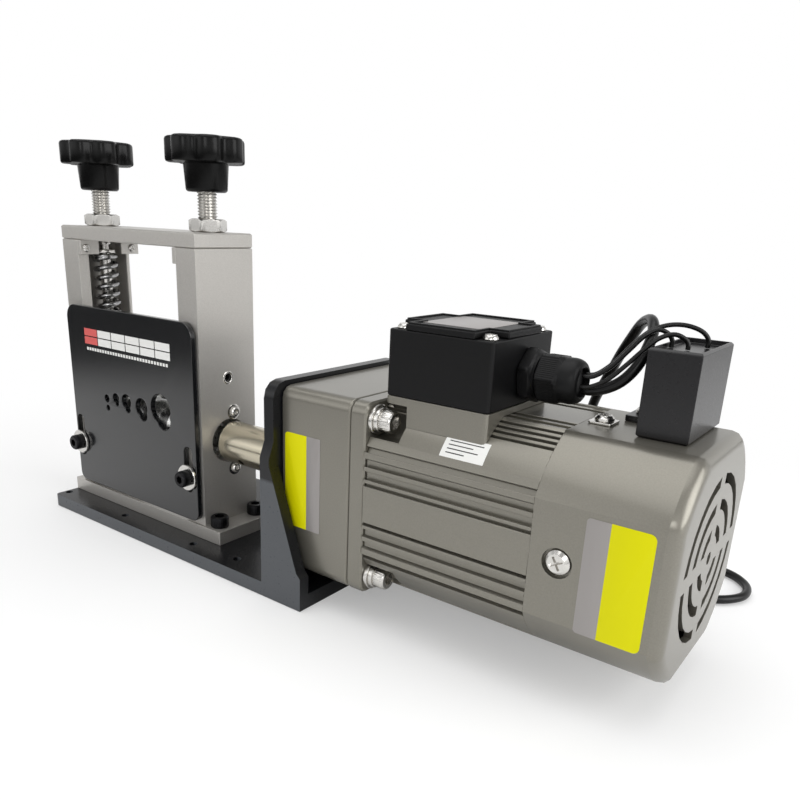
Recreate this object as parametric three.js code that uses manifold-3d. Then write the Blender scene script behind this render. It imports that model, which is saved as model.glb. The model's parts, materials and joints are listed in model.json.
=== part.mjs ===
// Electric wire stripping machine: a bench wire stripper driven by a geared fan-cooled motor.
//
// Millimetres, +Z up. x = 0 is the motor side of the upright bracket plate, with the motor
// towards +X and the stripping head towards -X. y = 0 is the motor's axis, and the wire is
// fed in from the -Y side. z = 0 is the underside of the base.

import * as THREE from 'three';
import { mergeVertices } from 'three/addons/utils/BufferGeometryUtils.js';
import Module from 'manifold-3d';

const wasm = await Module();
wasm.setup();

// Fits, and the overrun that every cut has past the face it starts from
const seatGap = 0.1;
const runGap = 0.3;
const overrun = 1;

// Counts of flat sides on round pieces
const roundSides = 22;
const smallSides = 12;
const cornerSteps = 3;

// The offset of the shafts from the motor's axis
const shaftOffset = 18;

// Base plate with its welded upright bracket
const baseLeftReach = 7.7;
const baseRight = 20;
const baseThickness = 7.5;
const baseCornerRadius = 2;
const baseHoleRadius = 2.2;
// How far each pair of mounting holes lies from the plate's left end and from its long edges
const baseHoleInsets = [[3.4, 7.3], [62.6, 7.3], [124.6, 7.3], [156.4, 10.1]];
const bracketThickness = 6;
const bracketRise = 2;
const bracketInset = 3.2;
const bracketCornerRadius = 8;
const gussetThickness = 6;
const gussetGap = 2.5;
const gussetTop = 72;
const gussetTopReach = 1;
const gussetToeHeight = 17;
const gussetToeInset = 2.5;
const gussetBevelHeight = 8;

// Gearhead, and the flange and screws that hold it to the motor
const gearheadHalf = 45;
const gearheadRise = 8.5;
const gearheadLength = 41;
const gearheadCornerRadius = 5.5;
const gearheadEdge = 0.8;
const bossRadius = 18;
const bossHeight = 5;
const boreDepth = 20;
const flangeThickness = 8.5;
const boltInset = 8.2;
const boltRadius = 3;
const boltHeadRadius = 5;
const boltHeadHeight = 6;
const socketAcross = 5;
const socketDepth = 3;
const washerRadius = 6.8;
const washerThickness = 1.8;
const springWasherRadius = 5.7;
const springWasherThickness = 2;
const boltPocketRadius = 8.2;
const boltPocketLength = 15;

// Motor body: a square barrel with rounded corners and long cooling fins
const barrelStep = 0.4;
const barrelBulge = 5.8;
const barrelLength = 80.4;
const finDepth = 2.2;
const finGrooveAngles = [
  [10.6, 12.4], [14.2, 18.8], [21, 25], [28, 31], [49.5, 51], [52.6, 54.1],
  [55.7, 57.2], [58.8, 60.3], [64, 68], [70.4, 74.6],
];
const arcStepAngle = 5;
const barrelCornerSteps = 7;
const spigotLength = 16;
const rotorShaftRadius = 4;
const rotorShaftDepth = 58;

// Fan cover with its ring grille
const coverLength = 53.6;
const coverWall = 3.5;
const coverEndWall = 3;
const coverRounding = 5;
const coverRoundingSteps = 3;
const spokeHalfWidth = 3.2;
const slotWidth = 4.2;
const slotOuterRadius = 34;
const slotPitch = 10.4;
const slotRings = 3;
const grilleEyeRadius = 2.6;
const coverScrewPlace = 11.4;
const coverScrewRise = 0.5;
const coverScrewHeadRadius = 5.2;
const coverScrewHeadHeight = 2.6;
const coverScrewRadius = 2.4;
const coverScrewLength = 10;
const counterboreDepth = 2;
const counterboreMargin = 0.9;
const crossRecessWidth = 1.2;
const crossRecessLength = 6;
const crossRecessDepth = 1.2;

// Cooling fan
const fanTipGap = 4.9;
const fanHubRadius = 9;
const fanWidth = 17;
const fanPlateThickness = 2;
const fanBladeThickness = 1.6;
const fanBladeCount = 8;
const fanStart = 20;

// Terminal box on the motor's back, with its gland
const boxStart = 3.8;
const boxLength = 49.7;
const boxFront = 36.6;
const boxRear = 15.5;
const boxCornerRadius = 2;
const boxFootRise = 3;
const boxHeight = 28;
const lidHeight = 2.6;
const lidNotchLength = 8.6;
const lidNotchWidth = 11.6;
const glandAside = 6;
const glandRise = 12.1;
const glandAcross = 20.5;
const glandHexLength = 11.5;
const glandCollarLength = 3;
const glandCollarRadius = 9.4;
const glandNutLength = 9.8;
const glandNutRadius = 9.8;
const glandMouthRadius = 6.4;

// Capacitor on the fan cover, its foot and its screw
const capacitorStart = 23.3;
const capacitorThickness = 19.3;
const capacitorFront = 14.8;
const capacitorRear = 27.4;
const capacitorHeight = 33.3;
const capacitorRim = 1.3;
const capacitorRecess = 2;
const capacitorEdge = 0.8;
const earLength = 12;
const earHalfWidth = 8;
const earPlace = 15;
const earThickness = 2.4;
const earScrewPlace = 6.5;
const earScrewRadius = 2;
const earScrewHeadRadius = 3.8;
const earScrewHeadHeight = 2.6;

// Stripping head: foot plate, pillars and crossbar
const stripperCentre = 124.8;
const stripperHalfSpan = 58.5;
const pillarWidth = 15;
const pillarHalfDepth = 19.25;
const pillarHeight = 147.3;
const footThickness = 7.5;
const footReach = 12.7;
const footMargin = 1.15;
const footScrewPlace = 7.4;
const footScrewHalfPitch = 13.5;
const footScrewDepth = 5;
const crossbarThickness = 7.5;
const crossbarEdge = 0.7;
const rebateWidth = 4.75;
const rebateDepth = 7;
const grooveHalfWidth = 12.5;
const grooveDepth = 10.8;
const grooveFloorGap = 1.5;
const sideHoleRadius = 2.5;
const sideHoleHeight = 96;
const bearingRadius = 12;
const bearingWidth = 6;
const bearingInset = 0.6;

// Retainers under the crossbar
const retainerThickness = 2.8;
const retainerHeight = 8;
const retainerNotchHalf = 7.4;

// Adjusting screws, springs, lock nuts and knobs
const screwInset = 3;
const screwRadius = 5;
const screwGrip = 17.5;
const neckRadius = 3;
const neckLength = 3;
const threadEndDrop = 2.5;
const collarRadius = 6.4;
const collarThickness = 2;
const stemRadius = 3.4;
const stemSeatDepth = 4;
const springWire = 2;
const springOuterRadius = 7.1;
const springCurls = 8;
const springSteps = 8;
const springSides = 5;
const lockNutAcross = 17;
const lockNutHeight = 6.5;
const hubBottomRadius = 10.4;
const hubTopRadius = 11.2;
const knobRise = 12.8;
const hubHeight = 13.5;
const discThickness = 12;
const domeHeight = 1;
const lobeCount = 7;
const lobeSteps = 6;
const lobeMiddleRadius = 18.4;
const lobeSwing = 1.6;
const discEdge = 1.4;

// Sliders, blade shaft and round blades
const sliderHeight = 26;
const sliderReach = 8;
const bladeGap = 1.5;
const bladeShaftRadius = 6;
const bladeShaftSeat = 8;
const spacerRadius = 9;
const bladeRadius = 18.5;
const bladeThickness = 1.6;
const bladeBevel = 1.6;
const bladeEdge = 0.2;

// Feed roller and its drive
const journalRadius = 6;
const rollerRadius = 13.5;
const rollerEndGap = 2;
const rollerEdge = 1;
const rollerGrooveDepthShares = [0.05, 0.08, 0.13, 0.2, 0.36];
const couplingRadius = 11.3;
const couplingEntry = 2.7;
const couplingRight = 8;
const couplingEdge = 0.8;
const couplingGrip = 19;
const grubRadius = 2;
const outputShaftGrip = 20;

// Guide plate with its five wire channels
const plateThickness = 3.4;
const plateInset = 2.3;
const plateShift = 1;
const plateBottom = 18;
const plateTop = 126.5;
const plateTopRadius = 8;
const plateBottomRadius = 5;
const slotHalfWidth = 3.4;
const slotInset = 5.7;
const slotBottom = 34.5;
const slotTop = 60;
const guideScrewHeight = 43;
const guideScrewDepth = 12;
const guideWasherRadius = 6.5;
const guideWasherThickness = 1.6;
const channelHeight = 76;
const channelRadius = 8.5;
const channelPlaceShares = [-0.391, -0.233, -0.057, 0.19, 0.496];
const channelSizeShares = [0.265, 0.353, 0.5, 0.618, 1];
const channelRiseShares = [-0.14, 0.02, 0, -0.12, 0.12];
const lobeSizeShares = [0.733, 0.583, 0.588, 0.667, 0.676];
const lobeDropShares = [2.44, 0.88, 0.906, 0.771, 0.676];
const lobeSideShare = 0.26;

// Capacitor leads and mains lead
const leadRadius = 0.9;
const leadSides = 6;
const leadSteps = 16;
const mainsRadius = 2.2;
const mainsSides = 8;
const mainsSteps = 52;
const coilPitch = 4.9;
const coilTurns = 6.5;
const coilTail = 24;
const coilOuterRadius = 33.5;
const coilSteps = 24;
const coilSides = 6;
const coilCentreX = 45;
const coilCentreY = 97;
const coilFloor = 0.1;
const plugLength = 27;
const plugHalfWidth = 12;
const plugHeight = 14;
const plugCornerRadius = 4;
const plugNeckLength = 13;
const plugNeckRadius = 3.4;
const pinLength = 17;
const pinHalfWidth = 3.1;
const pinHalfThickness = 0.8;
const pinPitch = 12.7;

// Finishes
const darkSteel = { color: 0x2b2e32, roughness: 0.45, metalness: 0.5 };
const satinAluminium = { color: 0xa9a6a2, roughness: 0.4, metalness: 0.85 };
const motorGrey = { color: 0x858279, roughness: 0.35, metalness: 0.6 };
const nickel = { color: 0xc4bfae, roughness: 0.25, metalness: 1 };
const brightSteel = { color: 0xb9b9b6, roughness: 0.25, metalness: 1 };
const blackOxide = { color: 0x17171a, roughness: 0.5, metalness: 0.7 };
const blackPlastic = { color: 0x1b1b1d, roughness: 0.5, metalness: 0 };
const blackGloss = { color: 0x111213, roughness: 0.15, metalness: 0.2 };
const blackRubber = { color: 0x161617, roughness: 0.7, metalness: 0 };

// Places worked out from the sizes above
const shaftY = -shaftOffset;
const axisHeight = baseThickness + gearheadRise + gearheadHalf;
const baseHalfWidth = gearheadHalf + gussetGap + gussetThickness;
const bracketTop = axisHeight + gearheadHalf + bracketRise;
const bracketHalfWidth = baseHalfWidth - bracketInset;
const boltReach = gearheadHalf - boltInset;
const barrelHalf = gearheadHalf + barrelStep;
const barrelRadius = barrelHalf + barrelBulge;
const fanRadius = barrelHalf - coverWall - fanTipGap;
const bladeShaftHeight = axisHeight + rollerRadius + bladeGap + bladeRadius;
const flangeStart = gearheadLength + seatGap;
const bodyStart = flangeStart + flangeThickness + seatGap;
const bodyEnd = bodyStart + barrelLength;
const coverStart = bodyEnd + seatGap;
const coverEnd = coverStart + coverLength;
const barrelTop = axisHeight + barrelHalf;
const footBottom = baseThickness + seatGap;
const footTop = footBottom + footThickness;
const pillarBottom = footTop + seatGap;
const pillarTop = pillarBottom + pillarHeight;
const crossbarBottom = pillarTop + seatGap;
const crossbarTop = crossbarBottom + crossbarThickness;
const hubBottom = crossbarTop + seatGap + lockNutHeight + knobRise;
const discBottom = hubBottom + hubHeight;
const discTop = discBottom + discThickness;
const screwTop = hubBottom + screwGrip;
const baseLeft = stripperCentre + stripperHalfSpan + baseLeftReach;
const pillarOutside = stripperCentre - stripperHalfSpan;
const footRight = pillarOutside - footReach;
const couplingLeft = pillarOutside + couplingEntry;
const plateHalfWidth = stripperHalfSpan - plateInset;
const slotReach = plateHalfWidth - slotInset;
const innerReach = stripperHalfSpan - pillarWidth;
const grooveReach = innerReach + grooveDepth;
const screwReach = innerReach + screwInset;
const pillarFront = shaftY - pillarHalfDepth;
const pillarRear = shaftY + pillarHalfDepth;
const sliderBottom = bladeShaftHeight - sliderHeight / 2;
const grooveFloor = sliderBottom - grooveFloorGap;
const sliderTop = sliderBottom + sliderHeight;
const threadEnd = crossbarBottom - threadEndDrop;
const collarTop = threadEnd - neckLength;
const collarBottom = collarTop - collarThickness;
const bearingBore = bearingRadius + runGap;
const plateBack = pillarFront - runGap;
const plateFront = plateBack - plateThickness;
const glandY = -glandAside;
const boxBottom = barrelTop + boxFootRise;
const boxTop = boxBottom + boxHeight;
const glandZ = boxBottom + glandRise;
const boxLeft = bodyStart + boxStart;
const boxRight = boxLeft + boxLength;
const capacitorLeft = coverStart + capacitorStart;
const capacitorRight = capacitorLeft + capacitorThickness;
const capacitorBottom = barrelTop + seatGap;
const capacitorTop = capacitorBottom + capacitorHeight;
const stripperX = (reach) => reach - stripperCentre;

// Turns a three.js geometry into a solid that can be cut and joined: shared vertices are
// merged, flat triangles at poles are dropped, and the faces are made to point out.
function solidOf(geometry) {
  const bare = geometry.clone();
  bare.deleteAttribute('normal');
  bare.deleteAttribute('uv');
  const merged = mergeVertices(bare);
  const index = merged.index.array;
  const corners = [0, 1, 2].map(() => new THREE.Vector3());
  const kept = [];
  let volume = 0;
  for (let i = 0; i < index.length; i += 3) {
    const triangle = [index[i], index[i + 1], index[i + 2]];
    if (new Set(triangle).size < 3) continue;
    triangle.forEach((vertex, k) => corners[k].fromBufferAttribute(merged.attributes.position, vertex));
    volume += corners[0].dot(corners[1].clone().cross(corners[2]));
    kept.push(triangle);
  }
  const facingOut = volume < 0 ? kept.map(([a, b, c]) => [a, c, b]) : kept;
  return new wasm.Manifold(new wasm.Mesh({
    numProp: 3,
    vertProperties: new Float32Array(merged.attributes.position.array),
    triVerts: new Uint32Array(facingOut.flat()),
  }));
}

function geometryOf(solid) {
  const { vertProperties, triVerts } = solid.getMesh();
  const geometry = new THREE.BufferGeometry();
  geometry.setAttribute('position', new THREE.BufferAttribute(vertProperties, 3));
  geometry.setIndex(new THREE.BufferAttribute(triVerts, 1));
  geometry.computeVertexNormals();
  return geometry;
}

const joined = (first, ...others) => others.reduce((sum, solid) => sum.add(solid), first);
const cut = (first, ...tools) => tools.reduce((rest, solid) => rest.subtract(solid), first);

// Outlines
const point = (u, v) => new THREE.Vector2(u, v);
const radians = THREE.MathUtils.degToRad;

function arc(u, v, radius, from, to, steps) {
  return Array.from({ length: steps + 1 }, (_, i) => {
    const angle = radians(from + ((to - from) * i) / steps);
    return point(u + radius * Math.cos(angle), v + radius * Math.sin(angle));
  });
}

function disc(radius, u = 0, v = 0, sides = roundSides) {
  return new THREE.Shape(arc(u, v, radius, 0, 360, sides).slice(0, -1));
}

function rectangle(u0, u1, v0, v1, lowRadius = 0, highRadius = lowRadius) {
  if (lowRadius === 0) {
    return new THREE.Shape([point(u0, v0), point(u1, v0), point(u1, v1), point(u0, v1)]);
  }
  return new THREE.Shape([
    ...arc(u1 - lowRadius, v0 + lowRadius, lowRadius, -90, 0, cornerSteps),
    ...arc(u1 - highRadius, v1 - highRadius, highRadius, 0, 90, cornerSteps),
    ...arc(u0 + highRadius, v1 - highRadius, highRadius, 90, 180, cornerSteps),
    ...arc(u0 + lowRadius, v0 + lowRadius, lowRadius, 180, 270, cornerSteps),
  ]);
}

const hexagonSides = 6;
const hexagonStart = 30;

function hexagon(across, u = 0, v = 0) {
  const tipRadius = across / Math.sqrt(3);
  return new THREE.Shape(arc(u, v, tipRadius, hexagonStart, hexagonStart + 360, hexagonSides).slice(0, -1));
}

// A prism along an axis. Its outline is drawn in (y, z) along x, (x, z) along y, (x, y) along z.
const unitX = new THREE.Vector3(1, 0, 0);
const unitY = new THREE.Vector3(0, 1, 0);
const unitZ = new THREE.Vector3(0, 0, 1);
const outlineFrames = {
  x: new THREE.Matrix4().makeBasis(unitY, unitZ, unitX),
  y: new THREE.Matrix4().makeBasis(unitX, unitZ, unitY.clone().negate()),
  z: new THREE.Matrix4(),
};

function prism(outline, axis, from, to, edge = 0) {
  const geometry = new THREE.ExtrudeGeometry(outline, {
    depth: to - from - 2 * edge,
    bevelEnabled: edge > 0,
    bevelSize: edge,
    bevelThickness: edge,
    bevelOffset: -edge,
    bevelSegments: 1,
  });
  geometry.translate(0, 0, edge);
  geometry.applyMatrix4(outlineFrames[axis]);
  const start = { x: [from, 0, 0], y: [0, to, 0], z: [0, 0, from] }[axis];
  geometry.translate(...start);
  return solidOf(geometry);
}

function block(x0, x1, y0, y1, z0, z1) {
  const geometry = new THREE.BoxGeometry(Math.abs(x1 - x0), y1 - y0, z1 - z0);
  geometry.translate((x0 + x1) / 2, (y0 + y1) / 2, (z0 + z1) / 2);
  return solidOf(geometry);
}

// A piece turned on a lathe: its profile holds pairs of radius and place along the axis.
function turned(profile, axis, sides = roundSides) {
  const geometry = new THREE.LatheGeometry(profile.map(([radius, along]) => point(radius, along)), sides);
  if (axis === 'x') geometry.rotateZ(-Math.PI / 2);
  if (axis === 'z') geometry.rotateX(Math.PI / 2);
  return solidOf(geometry);
}

// A tube of any number of sides through given centres, its ends closed by flat faces.
function tubeThrough(centres, radius, sides) {
  const positions = [];
  const index = [];
  let across = unitX.clone();
  centres.forEach((centre, i) => {
    const before = centres[Math.max(i - 1, 0)];
    const after = centres[Math.min(i + 1, centres.length - 1)];
    const along = after.clone().sub(before).normalize();
    if (i === 0 && Math.abs(along.x) > Math.SQRT1_2) across = unitZ.clone();
    across.sub(along.clone().multiplyScalar(along.dot(across))).normalize();
    const other = along.clone().cross(across);
    for (let side = 0; side < sides; side += 1) {
      const angle = (2 * Math.PI * side) / sides;
      const rim = centre.clone()
        .addScaledVector(across, radius * Math.cos(angle))
        .addScaledVector(other, radius * Math.sin(angle));
      positions.push(...rim.toArray());
    }
  });
  const ring = (i, side) => i * sides + (side % sides);
  for (let i = 0; i < centres.length - 1; i += 1) {
    for (let side = 0; side < sides; side += 1) {
      index.push(ring(i, side), ring(i, side + 1), ring(i + 1, side + 1));
      index.push(ring(i, side), ring(i + 1, side + 1), ring(i + 1, side));
    }
  }
  for (let side = 1; side < sides - 1; side += 1) {
    index.push(ring(0, 0), ring(0, side + 1), ring(0, side));
    index.push(ring(centres.length - 1, 0), ring(centres.length - 1, side), ring(centres.length - 1, side + 1));
  }
  const geometry = new THREE.BufferGeometry();
  geometry.setAttribute('position', new THREE.Float32BufferAttribute(positions, 3));
  geometry.setIndex(index);
  geometry.computeVertexNormals();
  return solidOf(geometry);
}

// The least space between two stretches of a wound tube that aren't neighbours along it.
function leastGap(centres, radius, neighbours) {
  let least = Infinity;
  for (let i = 0; i < centres.length; i += 1) {
    for (let k = i + neighbours; k < centres.length; k += 1) {
      least = Math.min(least, centres[i].distanceTo(centres[k]) - 2 * radius);
    }
  }
  return least;
}

// A lead along a smooth curve through hand-placed points
function lead(points, radius, sides, steps) {
  const curve = new THREE.CatmullRomCurve3(points.map((p) => new THREE.Vector3(...p)), false, 'centripetal');
  const section = new THREE.Shape(arc(0, 0, radius, 0, 360, sides).slice(0, -1));
  return solidOf(new THREE.ExtrudeGeometry(section, { steps, extrudePath: curve, bevelEnabled: false }));
}

const machine = new THREE.Group();

function add(name, solid, finish, place = [0, 0, 0], turn = [0, 0, 0]) {
  const mesh = new THREE.Mesh(geometryOf(solid), new THREE.MeshStandardMaterial(finish));
  mesh.name = name;
  mesh.position.set(...place);
  mesh.rotation.set(...turn);
  machine.add(mesh);
}

// A socket-head screw with captive washers. It points up from z = 0, the face it clamps,
// and its shank reaches down.
function socketScrew(shankLength, washers) {
  const profile = [[0, -shankLength], [boltRadius, -shankLength], [boltRadius, 0]];
  let height = 0;
  for (const [radius, thickness] of washers) {
    profile.push([radius, height], [radius, height + thickness]);
    height += thickness;
  }
  profile.push([boltHeadRadius, height], [boltHeadRadius, height + boltHeadHeight], [0, height + boltHeadHeight]);
  const top = height + boltHeadHeight;
  const socket = prism(hexagon(socketAcross), 'z', top - socketDepth, top + overrun);
  return cut(turned(profile, 'z', smallSides), socket);
}

const boltPlaces = [[-1, 1], [1, 1], [1, -1], [-1, -1]]
  .map(([y, z]) => [y * boltReach, axisHeight + z * boltReach]);

// Base plate, upright plate and two gussets, welded into one piece
function baseBracket() {
  const plate = prism(
    rectangle(-baseLeft, baseRight, -baseHalfWidth, baseHalfWidth, baseCornerRadius), 'z', 0, baseThickness);
  const bevelTop = gussetTop + gussetBevelHeight;
  const cornerAt = bracketTop - bracketCornerRadius;
  const upright = new THREE.Shape([
    point(-baseHalfWidth, 0),
    point(baseHalfWidth, 0),
    point(baseHalfWidth, gussetTop),
    point(bracketHalfWidth, bevelTop),
    ...arc(bracketHalfWidth - bracketCornerRadius, cornerAt, bracketCornerRadius, 0, 90, cornerSteps),
    ...arc(bracketCornerRadius - bracketHalfWidth, cornerAt, bracketCornerRadius, 90, 180, cornerSteps),
    point(-bracketHalfWidth, bevelTop),
    point(-baseHalfWidth, gussetTop),
  ]);
  const side = new THREE.Shape([
    point(-bracketThickness, 0),
    point(baseRight, 0),
    point(baseRight, gussetToeHeight),
    point(baseRight - gussetToeInset, gussetToeHeight + gussetToeInset),
    point(-gussetTopReach, gussetTop),
    point(-bracketThickness, gussetTop),
  ]);
  const front = prism(side, 'y', -baseHalfWidth, gussetThickness - baseHalfWidth);
  const rear = prism(side, 'y', baseHalfWidth - gussetThickness, baseHalfWidth);
  const through = (outline) => prism(outline, 'x', -bracketThickness - overrun, overrun);
  const holes = [through(disc(bossRadius + runGap, shaftY, axisHeight))];
  for (const [y, z] of boltPlaces) holes.push(through(disc(boltRadius + runGap, y, z, smallSides)));
  for (const [endInset, edgeInset] of baseHoleInsets) {
    for (const y of [edgeInset - baseHalfWidth, baseHalfWidth - edgeInset]) {
      holes.push(prism(disc(baseHoleRadius, endInset - baseLeft, y, smallSides), 'z', -overrun, baseThickness + overrun));
    }
  }
  for (const y of [-footScrewHalfPitch, footScrewHalfPitch]) {
    const outline = disc(boltRadius + runGap, -footRight - footScrewPlace, shaftY + y, smallSides);
    holes.push(prism(outline, 'z', baseThickness - footScrewDepth, baseThickness + overrun));
  }
  return cut(joined(plate, prism(upright, 'x', -bracketThickness, 0), front, rear), ...holes);
}
add('base_bracket', baseBracket(), darkSteel);

// Gearhead: a square casting, whose round boss locates in the upright plate
const caseOutline = () => rectangle(
  -gearheadHalf, gearheadHalf, axisHeight - gearheadHalf, axisHeight + gearheadHalf, gearheadCornerRadius);

function gearhead() {
  const boss = prism(disc(bossRadius, shaftY, axisHeight), 'x', -bossHeight, overrun);
  const bore = prism(disc(journalRadius + runGap, shaftY, axisHeight), 'x', -bossHeight - overrun, boreDepth);
  const holes = boltPlaces.map(([y, z]) => (
    prism(disc(boltRadius + runGap, y, z, smallSides), 'x', 0, gearheadLength + overrun)));
  const casing = prism(caseOutline(), 'x', seatGap, gearheadLength, gearheadEdge);
  return cut(joined(casing, boss), bore, ...holes);
}
add('gearhead_housing', gearhead(), motorGrey);

function motorFlange() {
  const holes = boltPlaces.map(([y, z]) => (
    prism(disc(boltRadius + runGap, y, z, smallSides), 'x', flangeStart - overrun, bodyStart + overrun)));
  return cut(prism(caseOutline(), 'x', flangeStart, flangeStart + flangeThickness, gearheadEdge), ...holes);
}
add('motor_flange', motorFlange(), motorGrey);

// The barrel's section: a square whose corners are arcs about the axis
function barrelPoint(angle, inset, depth = 0) {
  const turn = radians(angle);
  const half = barrelHalf - inset;
  const reach = Math.min(
    barrelRadius - inset, half / Math.abs(Math.cos(turn)), half / Math.abs(Math.sin(turn))) - depth;
  return point(reach * Math.cos(turn), axisHeight + reach * Math.sin(turn));
}

function barrelOutline(inset = 0) {
  const crease = THREE.MathUtils.radToDeg(Math.acos((barrelHalf - inset) / (barrelRadius - inset)));
  const points = [];
  for (let quarter = 0; quarter < 4; quarter += 1) {
    for (let i = 0; i <= barrelCornerSteps; i += 1) {
      const angle = crease + ((90 - 2 * crease) * i) / barrelCornerSteps;
      points.push(barrelPoint(quarter * 90 + angle, inset));
    }
  }
  return points;
}

// The same section with the grooves between the fins
function finnedOutline() {
  const crease = THREE.MathUtils.radToDeg(Math.acos(barrelHalf / barrelRadius));
  const grooves = finGrooveAngles.flatMap(([a, b]) => [
    [a, b], [180 - b, 180 - a], [180 + a, 180 + b], [360 - b, 360 - a]]);
  const corners = grooves.flatMap(([a, b]) => [
    [a, 0, 0], [a, 1, finDepth], [b, 0, finDepth], [b, 1, 0]]);
  const inGroove = (angle) => grooves.some(([a, b]) => angle >= a && angle <= b);
  for (let angle = 0; angle < 360; angle += arcStepAngle) {
    if (!inGroove(angle)) corners.push([angle, 0, 0]);
  }
  for (const quarter of [0, 90, 180, 270]) {
    for (const angle of [quarter + crease, quarter + 90 - crease]) {
      if (!inGroove(angle)) corners.push([angle, 0, 0]);
    }
  }
  corners.sort(([a, first], [b, second]) => a - b || first - second);
  return new THREE.Shape(corners.map(([angle, , depth]) => barrelPoint(angle, 0, depth)));
}

function motorBody() {
  const barrel = prism(finnedOutline(), 'x', bodyStart, bodyEnd);
  const spigotOutline = new THREE.Shape(barrelOutline(coverWall + runGap));
  const spigot = prism(spigotOutline, 'x', bodyEnd - overrun, bodyEnd + spigotLength);
  const shaftHole = prism(
    disc(rotorShaftRadius + runGap, 0, axisHeight, smallSides), 'x',
    bodyEnd - rotorShaftDepth - overrun, bodyEnd + spigotLength + overrun);
  const pockets = boltPlaces.map(([y, z]) => (
    prism(disc(boltPocketRadius, y, z), 'x', bodyStart - overrun, bodyStart + boltPocketLength)));
  const screwHole = disc(
    coverScrewRadius + runGap, coverStart + coverScrewPlace, axisHeight + coverScrewRise, smallSides);
  const screwEnd = barrelHalf - counterboreDepth - coverScrewLength - overrun;
  const sideHoles = [
    prism(screwHole, 'y', -barrelHalf, -screwEnd),
    prism(screwHole, 'y', screwEnd, barrelHalf),
  ];
  return cut(joined(barrel, spigot), shaftHole, ...pockets, ...sideHoles);
}
add('motor_body', motorBody(), motorGrey);

// Fan cover: one deep-drawn shell, rounded towards its end face, with a ring grille
function ringSlots(rimStart) {
  const slots = [];
  for (let ring = 0; ring < slotRings; ring += 1) {
    const outer = slotOuterRadius - ring * slotPitch;
    const inner = outer - slotWidth;
    const outerAngle = THREE.MathUtils.radToDeg(Math.asin(spokeHalfWidth / outer));
    const innerAngle = THREE.MathUtils.radToDeg(Math.asin(spokeHalfWidth / inner));
    for (let quarter = 0; quarter < 360; quarter += 90) {
      const slot = new THREE.Shape([
        ...arc(0, axisHeight, outer, quarter + outerAngle, quarter + 90 - outerAngle, cornerSteps * 2),
        ...arc(0, axisHeight, inner, quarter + 90 - innerAngle, quarter + innerAngle, cornerSteps * 2),
      ]);
      slots.push(prism(slot, 'x', rimStart, coverEnd + overrun));
    }
  }
  slots.push(prism(disc(grilleEyeRadius, 0, axisHeight, smallSides), 'x', rimStart, coverEnd + overrun));
  return slots;
}

function fanCover() {
  const sections = [[coverStart, 0]];
  for (let i = 0; i <= coverRoundingSteps; i += 1) {
    const angle = (Math.PI / 2) * (i / coverRoundingSteps);
    sections.push([
      coverEnd - coverRounding * (1 - Math.sin(angle)), coverRounding * (1 - Math.cos(angle))]);
  }
  const rings = sections.map(([x, inset]) => barrelOutline(inset).map((p) => [x, p.x, p.y]));
  const count = rings[0].length;
  const positions = rings.flat(2);
  const index = [];
  for (let i = 0; i < rings.length - 1; i += 1) {
    for (let k = 0; k < count; k += 1) {
      const [a, b] = [i * count + k, i * count + ((k + 1) % count)];
      index.push(a, b, b + count, a, b + count, a + count);
    }
  }
  for (let k = 1; k < count - 1; k += 1) {
    const last = (rings.length - 1) * count;
    index.push(0, k + 1, k, last, last + k, last + k + 1);
  }
  const outside = new THREE.BufferGeometry();
  outside.setAttribute('position', new THREE.Float32BufferAttribute(positions, 3));
  outside.setIndex(index);
  const insideEnd = coverEnd - coverEndWall;
  const cavity = prism(
    new THREE.Shape(barrelOutline(coverWall)), 'x', coverStart - overrun, insideEnd, coverWall);
  const screwX = coverStart + coverScrewPlace;
  const screwZ = axisHeight + coverScrewRise;
  const head = disc(coverScrewHeadRadius + counterboreMargin, screwX, screwZ);
  const shank = disc(coverScrewRadius + runGap, screwX, screwZ, smallSides);
  const screwCuts = [
    prism(head, 'y', -barrelHalf - overrun, counterboreDepth - barrelHalf),
    prism(head, 'y', barrelHalf - counterboreDepth, barrelHalf + overrun),
    prism(shank, 'y', -barrelHalf, coverWall + overrun - barrelHalf),
    prism(shank, 'y', barrelHalf - coverWall - overrun, barrelHalf),
  ];
  const earHole = disc(
    earScrewRadius + runGap, capacitorLeft - earScrewPlace, earPlace, smallSides);
  const topHole = prism(earHole, 'z', barrelTop - coverWall - overrun, barrelTop + overrun);
  const straight = block(
    coverStart - overrun, coverStart + overrun + coverWall, -barrelHalf - overrun, barrelHalf + overrun,
    axisHeight - barrelHalf - overrun, barrelTop + overrun)
    .intersect(prism(new THREE.Shape(barrelOutline(coverWall)), 'x', coverStart - overrun, insideEnd));
  return cut(solidOf(outside), cavity, straight, ...ringSlots(insideEnd - overrun), ...screwCuts, topHole);
}
add('fan_cover', fanCover(), motorGrey);

function coverScrew() {
  const profile = [
    [0, -coverScrewLength], [coverScrewRadius, -coverScrewLength], [coverScrewRadius, 0],
    [coverScrewHeadRadius, 0], [coverScrewHeadRadius, coverScrewHeadHeight / 2],
    [coverScrewHeadRadius - crossRecessWidth, coverScrewHeadHeight], [0, coverScrewHeadHeight],
  ];
  const [half, long] = [crossRecessWidth / 2, crossRecessLength / 2];
  const floor = coverScrewHeadHeight - crossRecessDepth;
  const roof = coverScrewHeadHeight + overrun;
  return cut(
    turned(profile, 'z', smallSides),
    block(-long, long, -half, half, floor, roof),
    block(-half, half, -long, long, floor, roof));
}
const coverScrewSeat = barrelHalf - counterboreDepth + seatGap;
add('front_cover_screw', coverScrew(), nickel,
  [coverStart + coverScrewPlace, -coverScrewSeat, axisHeight + coverScrewRise], [Math.PI / 2, 0, 0]);
add('rear_cover_screw', coverScrew(), nickel,
  [coverStart + coverScrewPlace, coverScrewSeat, axisHeight + coverScrewRise], [-Math.PI / 2, 0, 0]);

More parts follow.
